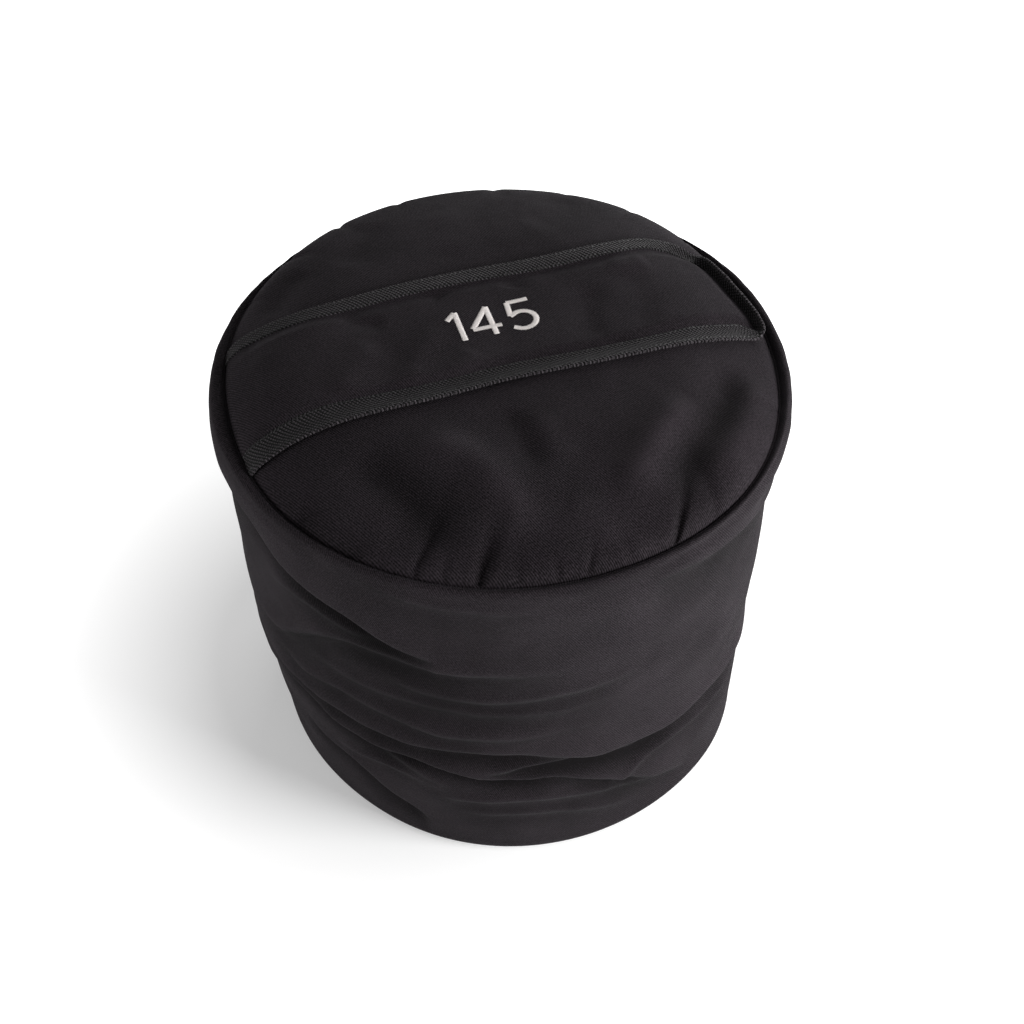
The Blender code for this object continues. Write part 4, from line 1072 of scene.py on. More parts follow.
def top_cloth(name, side, steps_round, steps_in, replaced):
    """One panel: rows run from the seam's raw edge up and in to the zip."""
    zip_line = ZIP_Y + side * PANEL_GAP
    slot_line = ZIP_Y + side * SLOT_HALF_WIDTH
    start = math.asin(zip_line / PANEL_EDGE)
    turn = np.linspace(start, side * math.pi - start, steps_round)
    around = np.column_stack([np.cos(turn), np.sin(turn)])
    stray = at_angle(SEAM_STRAY, np.degrees(turn))[:, None]
    edge = (PANEL_EDGE + stray) * around
    chord = np.array([(edge[0, 0], zip_line), (SLOT_RIGHT, zip_line), (SLOT_RIGHT, slot_line),
                      (SLOT_LEFT, slot_line), (SLOT_LEFT, zip_line), (edge[-1, 0], zip_line)])
    run = travelled(chord)
    inner = points_at(chord, run, np.linspace(0, run[-1], steps_round))
    inward = smooth_step(np.linspace(0, 1, steps_in) * ROW_SPACING) / smooth_step(ROW_SPACING)
    x, y = np.moveaxis(edge + inward[:, None, None] * (inner - edge), -1, 0)
    height = panel_top(x, y)
    loose = smooth_step(np.abs(y - ZIP_Y), *LOOSE_BESIDE_ZIP)
    folds = (pucker_relief(x, y) + hollow_relief(x, y, TOP_HOLLOWS)) * loose
    waves = PANEL_WAVE * lumps(spread(x, y, height), PANEL_WAVE_SPAN, seed=4.2)
    waves = waves * loose * smooth_step(PANEL_EDGE - np.hypot(x, y), 0, PANEL_WAVE_FADE)
    skirt = []
    for level in SEAM_HEIGHT - np.array(SKIRT_DEPTHS):
        ring = (PANEL_EDGE + stray * smooth_step(level, *SEAM_ABOVE)) * around
        skirt.append(spread(ring[:, 0], ring[:, 1], level))
    points = np.concatenate([skirt, spread(x, y, height + folds + waves)])
    flat = points[..., :2].copy()
    drop = points[len(skirt), :, 2] - points[:len(skirt), :, 2]
    flat[:len(skirt)] += drop[..., None] * around
    panel = grid_piece(name, points, shell.material, flat)
    # Painted light on the panels' ridges and painted shade in their hollows and puckers; none on the
    # turned-down edge
    paint_light_and_shade(panel, np.concatenate([0 * drop, TOP_PAINTED_SHADING * folds]))
    if side > 0:
        panel.data.flip_normals()
    thicken(panel, CLOTH)
    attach(panel, "bag")
    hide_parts(replaced)
    return panel


top_front = top_cloth("top_cloth_front", -1, 420, 84, "top_panel_front")
top_back = top_cloth("top_cloth_back", 1, 380, 76, "top_panel_back")
seam_tape("top_seam_tape", SEAM_RADIUS, SEAM_HEIGHT - SEAM_ALLOWANCE, -1, "top_seam_binding")

# Zip. Two woven tapes are sewn under the panels' slot, with moulded teeth, stops and a painted
# metal slider whose pull lies flat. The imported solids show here, in better finishes.
ZIP_TAPE = 0.0008
ZIP_TAPE_INNER = 0.0026
ZIP_TAPE_WIDTH = 0.016
ZIP_TAPE_END = 0.183
ZIP_TAPE_DROP = CLOTH + 0.0003
ZIP_WEAVE_PITCH = 0.0009
ZIP_WEAVE_HEIGHT = 0.00015
ZIP_FUZZ_SPAN = 0.0012
ZIP_BLACK = (0.012, 0.012, 0.013)
ZIP_PALE = (0.032, 0.032, 0.034)
TOOTH_BLACK = (0.010, 0.010, 0.011)
TOOTH_PALE = (0.030, 0.030, 0.031)
SCUFF_SPAN = 0.004
SCUFF_HEIGHT = 0.0001
PAINT_BLACK = (0.020, 0.020, 0.022)
BARE_METAL = (0.30, 0.29, 0.28)
CHIP_SPAN = 0.0035
CHIP_HEIGHT = 0.00015
# Where in the noise the slider's paint starts to be chipped, and where it is gone
CHIPPED = {"From Min": 0.60, "From Max": 0.68}
PLASTIC_NODES = ["zip_teeth_front", "zip_teeth_back", "zip_bottom_stop", "zip_top_stop_front",
                 "zip_top_stop_back"]
METAL_NODES = ["zip_slider", "zip_pull"]


def tape_grid(side, left, right, inner, width, columns, rows):
    """x and y of a strip along one side of the zip, as a grid whose rows run outwards from it."""
    y = ZIP_Y + side * np.linspace(inner, inner + width, rows)
    return np.meshgrid(np.linspace(left, right, columns), y)


def show_solids(names, finish):
    """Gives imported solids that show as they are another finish."""
    for name in names:
        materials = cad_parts[name].data.materials
        materials.clear()
        materials.append(finish.material)


zip_weave = Finish("zip_weave", 0.8, sheen=0.2)
weave_place = zip_weave.place()
tape_rib = zip_weave.bands(weave_place, ZIP_WEAVE_PITCH, "X")
tape_fuzz = zip_weave.cloud(weave_place, ZIP_FUZZ_SPAN, 3)
tape_shade = tape_rib * 0.5 + tape_fuzz * 0.4
zip_weave.colour(zip_weave.mix(tape_shade, ZIP_BLACK, ZIP_PALE))
zip_weave.relief(tape_rib * ZIP_WEAVE_HEIGHT)

for place, side in (("front", -1), ("back", 1)):
    x, y = tape_grid(side, -ZIP_TAPE_END, ZIP_TAPE_END, ZIP_TAPE_INNER, ZIP_TAPE_WIDTH, 140, 12)
    points = spread(x, y, solid_top(x, y) - ZIP_TAPE_DROP)
    tape = grid_piece("zip_woven_tape_" + place, points, zip_weave.material, points[..., :2])
    if side < 0:
        tape.data.flip_normals()
    thicken(tape, ZIP_TAPE)
    face_outwards(tape)
    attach(tape, "bag")
    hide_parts("zip_tape_" + place)

tooth_plastic = Finish("tooth_plastic")
scuff = tooth_plastic.cloud(tooth_plastic.place(), SCUFF_SPAN, 4)
tooth_plastic.colour(tooth_plastic.mix(scuff, TOOTH_BLACK, TOOTH_PALE))
tooth_plastic.give({"Specular IOR Level": 0.3})
tooth_plastic.roughness(0.52 + scuff * 0.25)
tooth_plastic.relief(scuff * SCUFF_HEIGHT)
show_solids(PLASTIC_NODES, tooth_plastic)

slider_paint = Finish("slider_paint", metallic=0.6)
chip = slider_paint.cloud(slider_paint.place(), CHIP_SPAN, 5)
bare = slider_paint.node("ShaderNodeMapRange", None, {"Value": chip, **CHIPPED})
slider_paint.colour(slider_paint.mix(bare, PAINT_BLACK, BARE_METAL))
slider_paint.roughness(0.30 + chip * 0.25)
slider_paint.relief(chip * CHIP_HEIGHT)
show_solids(METAL_NODES, slider_paint)

# Closure. Hook tape under the flap and loop tape on the panels run along both sides of the zip.
# The loop tape is fuzzy, and the hook tape is stiff with rows of tiny hooks.
STRIP_INNER = 0.015
STRIP_WIDTH = 0.020
STRIP_LEFT = -0.160
STRIP_EDGE = 0.002
STRIP_EDGE_SHARE = 0.70
STRIP_LUMP = 0.0002
STRIP_LUMP_SPAN = 0.006
LOOP_RIGHTS = {"front": 0.176, "back": 0.167}
HOOK_RIGHT = 0.166
# Each strip's height above the panels and its thickness
LOOP_TAPE = (0.0003, 0.0019)
HOOK_TAPE = (0.0026, 0.0015)
FLAP_LIFT = 0.0044
# Each tape's dark and pale grey, and how far apart its loops or hooks are
LOOP_PILE = ((0.040, 0.039, 0.041), (0.115, 0.112, 0.115), 0.0016)
HOOK_ROWS = ((0.015, 0.015, 0.016), (0.070, 0.068, 0.070), 0.0012)
# The spout's two strips: name, the node that each replaces and its height
SPOUT_STRIPS = [
    ("spout_loop_tape", "spout_loop_strip", 0.34648), ("spout_hook_tape", "spout_hook_strip", 0.34798),
]
SPOUT_STRIP_X = (0.0155, 0.0345)
SPOUT_STRIP_END = 0.0445
SPOUT_STRIP_THICKNESS = 0.0011
SPOUT_STRIP_LUMP = 0.0001
SPOUT_STRIP_LUMP_SPAN = 0.005


def closure_tape(name, dark, pale, grain):
    """Nylon pile whose loops or hooks are as far apart as the grain."""
    finish = Finish(name, 0.9, sheen=0.5)
    place = finish.place()
    pile = finish.node("ShaderNodeTexVoronoi", None, {"Vector": place, "Scale": 1 / grain})
    fuzz = finish.cloud(place, grain * 2, 4)
    finish.colour(finish.mix(pile * 0.8 + fuzz * 0.4 - 0.1, dark, pale))
    finish.relief(pile * grain * 0.5 + fuzz * grain * 0.6)
    return finish


loop_pile = closure_tape("loop_pile", *LOOP_PILE)
hook_rows = closure_tape("hook_rows", *HOOK_ROWS)


def closed_strip(name, x, y, foot, thickness, finish):
    """A strip from the height of its underside and its thickness at each (x, y)."""
    points = np.concatenate([spread(x, y, foot), spread(x, y, foot + thickness)[::-1]])
    strip = grid_piece(name, points, finish.material, points[..., :2], close_along=True)
    close_holes(strip)
    face_outwards(strip)
    return strip


def closure_strip(name, side, tape, right, finish, body, replaced):
    """A strip beside the zip, thinner along its edges."""
    lift, thickness = tape
    x, y = tape_grid(side, STRIP_LEFT, right, STRIP_INNER, STRIP_WIDTH, 170, 14)
    from_zip = np.abs(y - ZIP_Y)
    from_edge = np.minimum(from_zip - STRIP_INNER, STRIP_INNER + STRIP_WIDTH - from_zip)
    rounding = (1 - STRIP_EDGE_SHARE) * smooth_step(from_edge, 0, STRIP_EDGE)
    crest = thickness * (STRIP_EDGE_SHARE + rounding)
    crest = crest + STRIP_LUMP * lumps(spread(x, y, 0), STRIP_LUMP_SPAN, side + thickness)
    strip = closed_strip(name, x, y, solid_top(x, y) + lift, np.minimum(crest, thickness), finish)
    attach(strip, body)
    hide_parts(replaced)


for place, side in (("front", -1), ("back", 1)):
    closure_strip("loop_tape_" + place, side, LOOP_TAPE, LOOP_RIGHTS[place], loop_pile, "bag",
                  "loop_strip_" + place)
    closure_strip("hook_tape_" + place, side, HOOK_TAPE, HOOK_RIGHT, hook_rows, "cover_flap",
                  "hook_strip_" + place)

for name, replaced, level in SPOUT_STRIPS:
    spout_strip_y = np.linspace(-SPOUT_STRIP_END, SPOUT_STRIP_END, 44)
    x, y = np.meshgrid(np.linspace(*SPOUT_STRIP_X, 12), spout_strip_y)
    bumps = SPOUT_STRIP_LUMP * lumps(spread(x, y, 0), SPOUT_STRIP_LUMP_SPAN, level)
    strip = closed_strip(name, x, y, level + 0 * x, SPOUT_STRIP_THICKNESS + bumps, loop_pile)
    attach(strip, "bag")
    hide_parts(replaced)

# Cover flap. A strip of the same twill lies over the zip. Its left end is sewn into the seam, its
# other edges are free, and it is pressed down at its edges by the tape that binds them.
FRONT_EDGE = [(-0.190, -0.0475), (-0.178, -0.0462), (-0.156, -0.0425), (-0.124, -0.0415),
              (-0.088, -0.0424), (-0.048, -0.0422), (-0.007, -0.0400), (0.031, -0.0412),
              (0.060, -0.0424), (0.099, -0.0424), (0.143, -0.0398), (0.190, -0.0360)]
BACK_EDGE = [(-0.190, 0.0710), (-0.180, 0.0725), (-0.169, 0.0755), (-0.138, 0.0755),
             (-0.094, 0.0730), (-0.048, 0.0750), (-0.002, 0.0750), (0.055, 0.0728), (0.103, 0.0745),
             (0.128, 0.0762), (0.140, 0.0752), (0.158, 0.0695), (0.170, 0.0590), (0.1765, 0.0450)]
END_EDGE = [(0.1878, -0.0360), (0.1886, -0.0200), (0.1868, -0.0050), (0.1835, 0.0100),
            (0.1802, 0.0280), (0.1765, 0.0450), (0.1700, 0.0590), (0.1580, 0.0695),
            (0.1400, 0.0752)]
EDGE_STEP = 0.002
END_STEP = 0.0006
LIP_LEAN = 0.0035
TAPE_OVERHANG = 0.0060
# Where the flap starts to rise over the closure and over what length it does, in from each edge
RISE_FROM_SIDE = (0.008, 0.016)
RISE_FROM_END = (0.001, 0.010)
RISE_FROM_SEAM = (0, 0.030)
LEAST_RISE = 0.0002
PRESSED_GAP = 0.0006
SEWN_DIP = 0.0030
SEWN_DIP_REACH = 0.0022
# Where the flap's own ridges and swell begin, in from its sides and from the seam
LOOSE_FROM_SIDE = (0.010, 0.014)
LOOSE_FROM_SEAM = (0, 0.02)
FLAP_SWELL = 0.0010
FLAP_WAVE = 0.0008
FLAP_WAVE_SPAN = 0.035
# How far the cloth stops inside the seam's edge and inside the lip, and where its sewn end lies
SEWN_X = -0.18
SEWN_INSIDE = 0.0006
END_INSIDE = 0.0005
FLAP_CLOTH = CLOTH * 0.9
# The flap's ends before they are settled, and how many turns that takes
FIRST_LEFT = -0.185
FIRST_LENGTH = 0.37
SETTLING_ROUNDS = 12
FLAP_RIDGES = [
    ([(-0.122, -0.020), (-0.100, 0.004), (-0.084, 0.024)], -0.0020, 0.011),
    ([(-0.076, -0.026), (-0.058, 0.000), (-0.036, 0.026)], -0.0016, 0.010),
    ([(-0.040, -0.026), (-0.020, -0.006)], -0.0012, 0.009),
    ([(0.062, -0.024), (0.066, 0.006), (0.080, 0.036)], 0.0020, 0.011),
    ([(0.096, -0.026), (0.110, 0.010), (0.106, 0.046)], 0.0012, 0.012),
    ([(-0.098, 0.062), (-0.090, 0.046), (-0.070, 0.036)], 0.0020, 0.008),
    ([(-0.034, 0.064), (-0.026, 0.050)], 0.0018, 0.008),
    ([(0.030, 0.062), (0.024, 0.046)], 0.0016, 0.008),
    ([(0.098, 0.056), (0.112, 0.048), (0.128, 0.050)], -0.0016, 0.010),
    ([(-0.160, -0.010), (-0.150, 0.020), (-0.156, 0.050)], -0.0010, 0.014),
]
front_line = smooth_line(FRONT_EDGE, EDGE_STEP)
back_line = smooth_line(BACK_EDGE, EDGE_STEP)
end_line = smooth_line(END_EDGE, END_STEP)
end_outward = -left_of(end_line)
lip_line = end_line - LIP_LEAN * end_outward


def front_edge(x):
    return np.interp(x, front_line[:, 0], front_line[:, 1])


def back_edge(x):
    return np.interp(x, back_line[:, 0], back_line[:, 1])


def end_edge(y):
    return np.interp(y, lip_line[:, 1], lip_line[:, 0])


def inside_sides(x, y):
    """How far inside the flap's front or back edge each point is."""
    return np.minimum(y - front_edge(x), back_edge(x) - y)


def flap_under(x, y):
    """Height of the flap's underside: over the closure in the middle, down on the panels at its
    edges and in the seam at its sewn end."""
    inwards = inside_edge(x, y)
    from_end = np.where(x > 0, end_edge(y) - x, 1)
    from_seam = np.where(x < 0, inwards, 1)
    middle = smooth_step(inside_sides(x, y), *RISE_FROM_SIDE) * smooth_step(from_end, *RISE_FROM_END)
    middle = middle * smooth_step(from_seam, *RISE_FROM_SEAM)
    dip = np.where(x < 0, SEWN_DIP * np.exp(-inwards / SEWN_DIP_REACH), 0)
    pressed = panel_top(x, y) + PRESSED_GAP - dip
    return pressed + middle * np.maximum(rounded_top(x, y) + FLAP_LIFT - pressed, LEAST_RISE)


def flap_top(x, y):
    """Height of the flap's upper face, with its soft ridges and hollows."""
    loose = smooth_step(inside_sides(x, y), *LOOSE_FROM_SIDE)
    loose = loose * smooth_step(inside_edge(x, y), *LOOSE_FROM_SEAM)
    slow = FLAP_WAVE * lumps(spread(x, y, 0), FLAP_WAVE_SPAN, seed=7.7)
    return flap_under(x, y) + CLOTH + (hollow_relief(x, y, FLAP_RIDGES) + slow + FLAP_SWELL) * loose


def flap_cloth():
    """The flap's cloth. Its ends depend on y and its sides on x, so they are found by turns."""
    share_x, share_y = np.meshgrid(np.linspace(0, 1, 320), np.linspace(0, 1, 96))
    x = FIRST_LEFT + share_x * FIRST_LENGTH
    for _ in range(SETTLING_ROUNDS):
        front = front_edge(x) + TAPE_OVERHANG
        back = back_edge(x) - TAPE_OVERHANG
        y = front + share_y * (back - front)
        left = -np.sqrt((edge_radius(SEWN_X, y) - SEWN_INSIDE) ** 2 - y ** 2)
        right = end_edge(y) - END_INSIDE
        x = left + share_x * (right - left)
    points = spread(x, y, flap_top(x, y))
    piece = grid_piece("flap_twill", points, shell.material, points[..., :2])
    piece.data.flip_normals()
    thicken(piece, FLAP_CLOTH)
    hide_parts("flap", "flap_sewn_end")
    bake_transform(piece)
    return piece


flap_piece = flap_cloth()

# Flap binding. Herringbone tape is folded over the flap's three free edges and stitched through.
# It lies flat along the sides, and at the free end it stands up in a lip beside the rim.
BINDING_STEP = 0.0006
BINDING_LEFT = -0.1880
BINDING_RIGHT = 0.1835
BINDING_BACK_LEFT = -0.1835
FRONT_TAPE_WIDTHS = [(-0.18, 0.0180), (0.18, 0.0150)]
BACK_TAPE_WIDTH = 0.0115
TAPE_THICKNESS = 0.0030
TAPE_SINK = 0.0004
LIP_HEIGHT = 0.0070
LIP_BACK_END = 0.064
LIP_FADE = 0.020
LIP_STEEPNESS = 1.5
LIP_SMOOTHING = 0.0143
CORNER_SMOOTHING = 0.011
# How far the tape's inner edge is drawn back before the front corner, and where that happens
CORNER_DRAW = 0.0075
CORNER_ALONG = (0.150, 0.034)
SERRATION_PITCH = 0.0019
SERRATION = 0.0009
SERRATION_LIFT = 0.7
SERRATED_SHARE = 0.11
SERRATED_ABOVE = -0.3
# A painted highlight along the tape's outer fold: how bright, and over what share of the width
FOLD_HIGHLIGHT = 0.55
FOLD_HIGHLIGHT_SHARE = 0.09
TAPE_SECTION = [
    # share of the width from the outer fold, and share of the thickness above the middle
    (1.00, -0.20), (0.85, -0.36), (0.55, -0.38), (0.25, -0.42), (0.09, -0.42), (0.02, -0.26),
    (0.00, 0.0), (0.02, 0.30), (0.07, 0.47), (0.13, 0.52), (0.30, 0.46), (0.50, 0.44),
    (0.70, 0.45), (0.84, 0.48), (0.94, 0.44), (0.99, 0.28), (1.01, 0.05),
]


def rounded(points, reach):
    """A line of points with its corners rounded off by averaging over the reach."""
    count = int(reach / BINDING_STEP)
    weights = np.hanning(2 * count + 1)
    weights /= weights.sum()
    before = 2 * points[0] - points[count:0:-1]
    after = 2 * points[-1] - points[-2:-count - 2:-1]
    longer = np.vstack([before, points, after])
    return np.column_stack([np.convolve(column, weights, "valid") for column in longer.T])


def binding_lines():
    """The tape's outer fold and its sewn inner edge, as two lines of matching points: from the
    sewn end along the front, up round the free end, and back. Then how far it stands up."""
    front_x = np.arange(BINDING_LEFT, BINDING_RIGHT, BINDING_STEP)
    width = np.interp(front_x, *zip(*FRONT_TAPE_WIDTHS))
    inner_x = front_x - CORNER_DRAW * smooth_step(front_x, *CORNER_ALONG)
    back_x = np.arange(END_EDGE[-1][0], BINDING_BACK_LEFT, -BINDING_STEP)
    standing = smooth_step(LIP_BACK_END - end_line[:, 1], 0, LIP_FADE)
    lean = LIP_LEAN + (1 - standing) * (BACK_TAPE_WIDTH - LIP_LEAN)
    outer = np.vstack([
        spread(front_x, front_edge(front_x)), end_line, spread(back_x, back_edge(back_x)),
    ])
    inner = np.vstack([
        spread(inner_x, front_edge(front_x) + width), end_line - lean[:, None] * end_outward,
        spread(back_x, back_edge(back_x) - BACK_TAPE_WIDTH),
    ])
    lip = np.concatenate([0 * front_x, standing, 0 * back_x])[:, None]
    outer = rounded(outer, CORNER_SMOOTHING)
    inner = rounded(inner, CORNER_SMOOTHING)
    lip = rounded(lip, LIP_SMOOTHING)[:, 0]
    foot = flap_top(*inner.T) - TAPE_SINK
    edge = flap_under(*outer.T) + TAPE_THICKNESS / 2
    edge = edge + lip * (foot + LIP_HEIGHT - edge)
    return np.column_stack([outer, edge]), np.column_stack([inner, foot]), lip


tape_lines = binding_lines()


def tape_row(share, lift):
    """One line along the tape at a share of its width and of its thickness, which way is up
    there, and the place on the flat tape."""
    outer, inner, lip = tape_lines
    run = travelled(outer)
    width = np.linalg.norm(inner - outer, axis=1)
    across = unit(inner - outer)
    upward = unit(np.cross(unit(np.gradient(outer + inner, axis=0)), across))
    teeth = 0.5 + 0.5 * np.sin(2 * math.pi * run / SERRATION_PITCH)
    teeth = SERRATION * teeth * bell(share, SERRATED_SHARE) * (lift > SERRATED_ABOVE)
    slide = share * width - teeth
    middle = outer + across * slide[:, None]
    lying = flap_under(middle[:, 0], middle[:, 1]) + TAPE_THICKNESS / 2
    middle[:, 2] = lying + smooth_step(lip * LIP_STEEPNESS) * (middle[:, 2] - lying)
    thick = TAPE_THICKNESS * lift + SERRATION_LIFT * teeth
    return middle + upward * thick[:, None], upward, spread(run, slide if lift > 0 else -slide)


def flap_binding():
    """The tape as one closed piece, with a painted highlight along its outer fold."""
    rows, _, flat = (np.array(part) for part in zip(*[tape_row(*spot) for spot in TAPE_SECTION]))
    shares = np.array(TAPE_SECTION)[:, :1]
    piece = grid_piece("flap_herringbone", rows, binding_tape.material, flat, close_along=True)
    # The painted highlight along the outer fold
    paint_light_and_shade(piece, FOLD_HIGHLIGHT * bell(shares, FOLD_HIGHLIGHT_SHARE) + 0 * flat[..., 0])
    close_holes(piece)
    face_outwards(piece)
    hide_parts("flap_binding")
    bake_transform(piece)
    return piece


binding_piece = flap_binding()

# Threads. Black lockstitches run along both edges of the tape and hold it to the flap, and a plain
# number in pale satin stitch marks the flap. Geometry Nodes lay each thread at its pitch.
THREAD_INPUTS = {
    "Geometry": "Geometry", "Pitch": "Float", "Length": "Float", "Radius": "Float",
    "Thread": "Material",
}
THREAD_SEGMENTS = 6
THREAD_RINGS = 5
THREAD_FLATNESS = 0.8
# Each row of stitches on the tape, as in TAPE_SECTION
STITCH_ROWS = [(0.20, 0.50), (0.90, 0.47)]
STITCH_PITCH = 0.0036
STITCH_LENGTH = 0.0030
STITCH_RADIUS = 0.00036
STITCH_BLACK = (0.010, 0.010, 0.010)
SATIN_PITCH = 0.00046
SATIN_LENGTH = 0.0046
SATIN_RADIUS = 0.00030
SATIN_STEP = 0.0005
SATIN_SINK = 0.6
SATIN_WHITE = (0.94, 0.89, 0.86)
SATIN_SHADE = (0.72, 0.67, 0.65)
SATIN_SHADE_SPAN = 0.0015
NUMBER_HEIGHT = 0.029
NUMBER_PLACE = (-0.030, 0.004)
# Each figure's strokes in shares of the number's height, and where the figure starts
NUMBER_FIGURES = [
    (0.00, [[(0.00, 0.78), (0.24, 1.00)], [(0.24, 1.00), (0.24, 0.00)]]),
    (0.52, [[(0.50, 1.00), (0.00, 0.33)], [(0.00, 0.30), (0.72, 0.30)], [(0.50, 1.00), (0.50, 0.00)]]),
    (1.46, [[(0.62, 1.00), (0.10, 1.00)], [(0.10, 1.00), (0.06, 0.52)],
            [(0.06, 0.52), (0.26, 0.62), (0.48, 0.58), (0.62, 0.42), (0.62, 0.22), (0.48, 0.05),
             (0.24, 0.00), (0.02, 0.12)]]),
]


def thread_nodes():
    """Geometry Nodes that lay threads along a path. Each lies along the path's "thread_way" with
    its top towards the path's "surface_up"."""
    nodes = Nodes(bpy.data.node_groups.new("thread_rows", "GeometryNodeTree"))
    sockets = nodes.tree.interface
    named = {}
    for name, kind in THREAD_INPUTS.items():
        socket = sockets.new_socket(name, in_out="INPUT", socket_type="NodeSocket" + kind)
        named[name] = socket.identifier
    sockets.new_socket("Geometry", in_out="OUTPUT", socket_type="NodeSocketGeometry")
    given = nodes.tree.nodes.new("NodeGroupInput")
    value = {name: Wire(nodes, given.outputs[name]) for name in THREAD_INPUTS}
    vector = {"data_type": "FLOAT_VECTOR"}
    way = nodes.node("GeometryNodeInputNamedAttribute", vector, {"Name": "thread_way"})
    up = nodes.node("GeometryNodeInputNamedAttribute", vector, {"Name": "surface_up"})
    path = nodes.node("GeometryNodeMeshToCurve", None, {"Mesh": value["Geometry"]})
    spacing = {"Curve": path, "Length": value["Pitch"]}
    spaced = nodes.node("GeometryNodeResampleCurve", {"mode": "LENGTH"}, spacing)
    along = nodes.node("FunctionNodeAlignRotationToVector", {"axis": "X"}, {"Vector": way})
    upright = nodes.node(
        "FunctionNodeAlignRotationToVector", {"axis": "Z", "pivot_axis": "X"},
        {"Rotation": along, "Vector": up}
    )
    thread = nodes.node(
        "GeometryNodeMeshUVSphere", None,
        {"Segments": THREAD_SEGMENTS, "Rings": THREAD_RINGS, "Radius": 1.0}
    )
    size = nodes.node(
        "ShaderNodeCombineXYZ", None,
        {"X": value["Length"] * 0.5, "Y": value["Radius"], "Z": value["Radius"] * THREAD_FLATNESS}
    )
    laid = nodes.node(
        "GeometryNodeInstanceOnPoints", None,
        {"Points": spaced, "Instance": thread, "Rotation": upright, "Scale": size}
    )
    solid = nodes.node("GeometryNodeRealizeInstances", None, {"Geometry": laid})
    smooth = nodes.node("GeometryNodeSetShadeSmooth", None, {"Geometry": solid})
    spun = nodes.node(
        "GeometryNodeSetMaterial", None, {"Geometry": smooth, "Material": value["Thread"]}
    )
    nodes.join(spun, nodes.tree.nodes.new("NodeGroupOutput").inputs["Geometry"])
    return nodes.tree, named


thread_tree, thread_sockets = thread_nodes()


def thread_piece(name, paths, pitch, length, radius, finish):
    """Threads along paths, each given as its points, the threads' directions and the way up."""
    points, ways, ups = (np.concatenate(column) for column in zip(*paths))
    edges = []
    first = 0
    for path, _, _ in paths:
        edges += [(index, index + 1) for index in range(first, first + len(path) - 1)]
        first += len(path)
    mesh = bpy.data.meshes.new(name)
    mesh.from_pydata(points.tolist(), edges, [])
    for title, vectors in (("thread_way", ways), ("surface_up", ups)):
        written = mesh.attributes.new(title, "FLOAT_VECTOR", "POINT")
        written.data.foreach_set("vector", vectors.astype(np.float32).reshape(-1))
    piece = add_object(name, mesh)
    layer = piece.modifiers.new("threads", "NODES")
    layer.node_group = thread_tree
    values = {"Pitch": pitch, "Length": length, "Radius": radius, "Thread": finish.material}
    for title, value in values.items():
        layer[thread_sockets[title]] = value
    keep_result(piece, all_layers=False)
    return piece


def tape_stitches():
    """Lockstitches along the tape, each in line with its row."""
    paths = []
    for share, lift in STITCH_ROWS:
        points, upward, _ = tape_row(share, lift)
        paths.append((points, unit(np.gradient(points, axis=0)), upward))
    black_thread = Finish("black_thread", 0.45)
    black_thread.give({"Base Color": (*STITCH_BLACK, 1)})
    piece = thread_piece(
        "tape_stitches", paths, STITCH_PITCH, STITCH_LENGTH, STITCH_RADIUS, black_thread
    )
    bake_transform(piece)
    return piece


def flap_number():
    """The number, in threads laid across each of its strokes."""
    paths = []
    for start, strokes in NUMBER_FIGURES:
        for stroke in strokes:
            line = np.array(stroke) + (start, 0)
            line = line * NUMBER_HEIGHT + NUMBER_PLACE
            line = smooth_line(line, SATIN_STEP) if len(line) > 2 else line
            run = travelled(line)
            x, y = points_at(line, run, np.arange(0, run[-1], SATIN_STEP)).T
            rise_x = flap_top(x + SATIN_STEP, y) - flap_top(x - SATIN_STEP, y)
            rise_y = flap_top(x, y + SATIN_STEP) - flap_top(x, y - SATIN_STEP)
            upward = unit(spread(-rise_x / (2 * SATIN_STEP), -rise_y / (2 * SATIN_STEP), 1))
            points = spread(x, y, flap_top(x, y)) + upward * SATIN_RADIUS * SATIN_SINK
            paths.append((points, np.cross(upward, unit(np.gradient(points, axis=0))), upward))
    satin = Finish("satin_thread", 0.5, sheen=0.1)
    shade = satin.cloud(satin.place(), SATIN_SHADE_SPAN, 3, stretch=(1, 1, 0))
    satin.colour(satin.mix(shade, SATIN_SHADE, SATIN_WHITE))
    piece = thread_piece("flap_number", paths, SATIN_PITCH, SATIN_LENGTH, SATIN_RADIUS, satin)
    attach(piece, "cover_flap")
    return piece


stitch_piece = tape_stitches()
number_piece = flap_number()

# Studio. A white floor and sky with soft light from the upper right, and the camera that the
# photograph was taken from.
CAMERA_TURN = math.radians(17.8)
CAMERA_PITCH = math.radians(48.86)
CAMERA_DISTANCE = 1.0902
CAMERA_SIDE = -0.0086
CAMERA_RISE = 0.0996
FOCAL_PIXELS = 1546
IMAGE_PIXELS = 1024
SENSOR = 36.0
FLOOR_HALF = 4.0
FLOOR_DROP = 0.0004
FLOOR_WHITE = (0.90, 0.90, 0.90, 1)
FLOOR_GLOW = 1.90
# The paper's glow, seen only by the camera, is painted light: it is weakest round a point to the bag's
# left, so the paper is greyest in the shade there, and it glows more further out
SHADE_MIDDLE = (-0.08, 0.03, 0)
SHADE_REACH = {"From Min": 0.16, "From Max": 0.56, "To Min": 0.13, "To Max": 0.93}
# How bright the sky is for the light that it gives, and for the camera
SKY_LIGHT = 0.26
SKY_SEEN = 1.0
LAMP_TARGET = Vector((0, 0, 0.2))

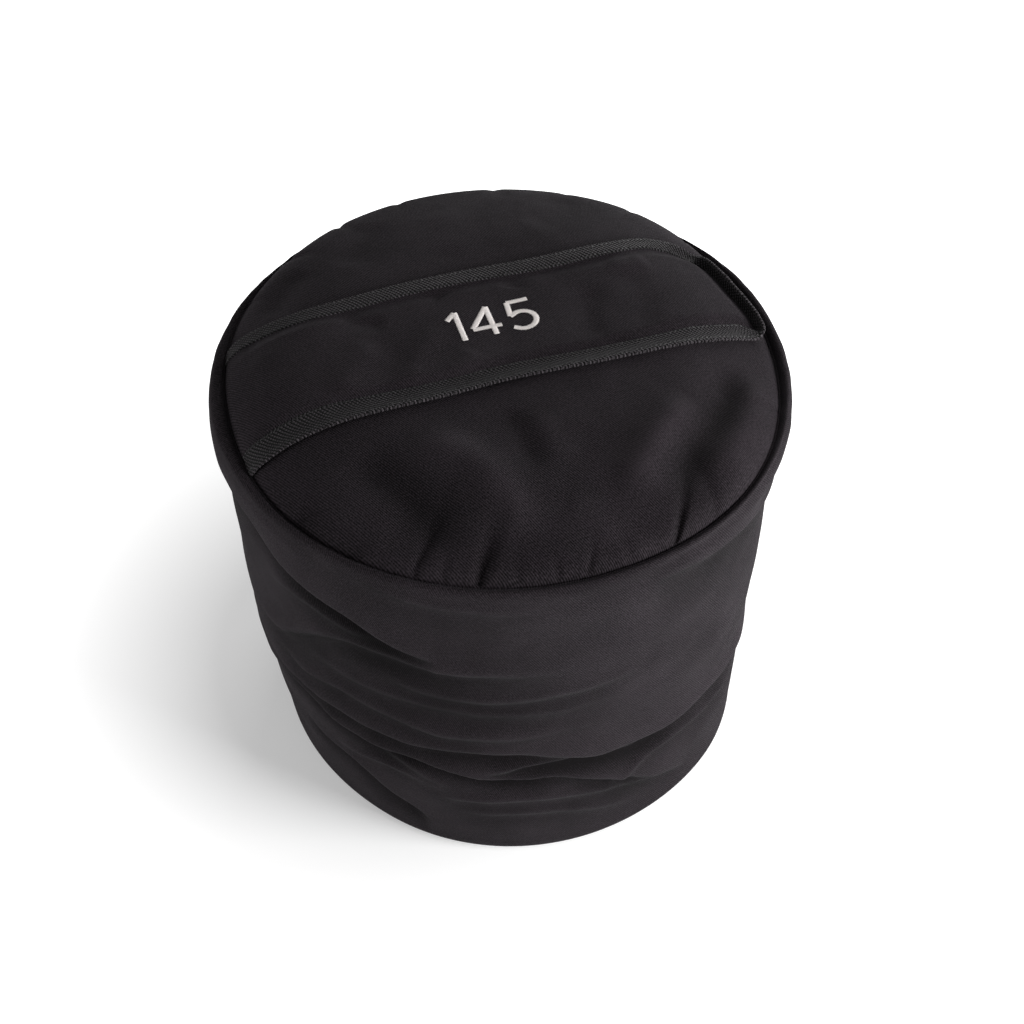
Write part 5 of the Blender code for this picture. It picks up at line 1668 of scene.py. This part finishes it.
right = Vector((math.cos(CAMERA_TURN), -math.sin(CAMERA_TURN), 0))
level = Vector((math.sin(CAMERA_TURN), math.cos(CAMERA_TURN), 0))
forward = level * math.cos(CAMERA_PITCH) + Vector((0, 0, -math.sin(CAMERA_PITCH)))
upward = level * math.sin(CAMERA_PITCH) + Vector((0, 0, math.cos(CAMERA_PITCH)))
lens = bpy.data.cameras.new("photo_camera")
lens.sensor_width = SENSOR
lens.lens = FOCAL_PIXELS / IMAGE_PIXELS * SENSOR
camera = add_object("photo_camera", lens)
seam_middle = Vector((0, 0, SEAM_HEIGHT))
camera.location = seam_middle - right * CAMERA_SIDE - upward * CAMERA_RISE - forward * CAMERA_DISTANCE
camera.rotation_euler = forward.to_track_quat("-Z", "Y").to_euler()
bpy.context.scene.camera = camera

floor_mesh = bpy.data.meshes.new("studio_floor")
floor_corners = [(x * FLOOR_HALF, y * FLOOR_HALF, 0) for x, y in ((-1, -1), (1, -1), (1, 1), (-1, 1))]
floor_mesh.from_pydata(floor_corners, [], [(0, 1, 2, 3)])
floor = add_object("studio_floor", floor_mesh)
floor.location.z = -FLOOR_DROP
paper = Finish("studio_paper", 0.9)
paper.give({"Base Color": FLOOR_WHITE, "Specular IOR Level": 0.0})
seen = paper.node("ShaderNodeLightPath", output="Is Camera Ray")
to_shade = {0: paper.place(), 1: SHADE_MIDDLE}
from_shade = paper.node("ShaderNodeVectorMath", {"operation": "SUBTRACT"}, to_shade)
distance = paper.node("ShaderNodeVectorMath", {"operation": "LENGTH"}, {0: from_shade}, 1)
glow_share = paper.node("ShaderNodeMapRange", None, {"Value": distance, **SHADE_REACH})
glow = paper.node("ShaderNodeEmission", None, {"Color": (1, 1, 1, 1), "Strength": FLOOR_GLOW})
paper_shader = Wire(paper, paper.shader.outputs[0])
blend = paper.node("ShaderNodeMixShader", None, {0: seen * glow_share, 1: paper_shader, 2: glow})
paper.join(blend, paper.tree.nodes["Material Output"].inputs["Surface"])
floor_mesh.materials.append(paper.material)

sky = bpy.data.worlds.new("studio_sky")
bpy.context.scene.world = sky
sky.use_nodes = True
air = Nodes(sky.node_tree)
backdrop = air.tree.nodes["Background"]
to_camera = air.node("ShaderNodeLightPath", output="Is Camera Ray")
brightness = {"Value": to_camera, "To Min": SKY_LIGHT, "To Max": SKY_SEEN}
air.join((1, 1, 1, 1), backdrop.inputs["Color"])
air.join(air.node("ShaderNodeMapRange", None, brightness), backdrop.inputs["Strength"])


def soft_box(name, side, back, up, size, watts):
    """A square lamp, placed from the bag's middle in the camera's right, back and up."""
    lamp = bpy.data.lights.new(name, "AREA")
    lamp.size = size
    lamp.energy = watts
    box = add_object(name, lamp)
    box.location = right * side + level * back + Vector((0, 0, up))
    box.rotation_euler = (LAMP_TARGET - box.location).to_track_quat("-Z", "Y").to_euler()


soft_box("key_box", 1.85, -0.75, 0.75, 1.0, 64)
soft_box("rim_box", 0.6, 1.9, 0.9, 1.2, 15)
soft_box("fill_box", -1.9, -0.75, 0.45, 1.4, 25)
bpy.context.scene.view_settings.view_transform = "Standard"
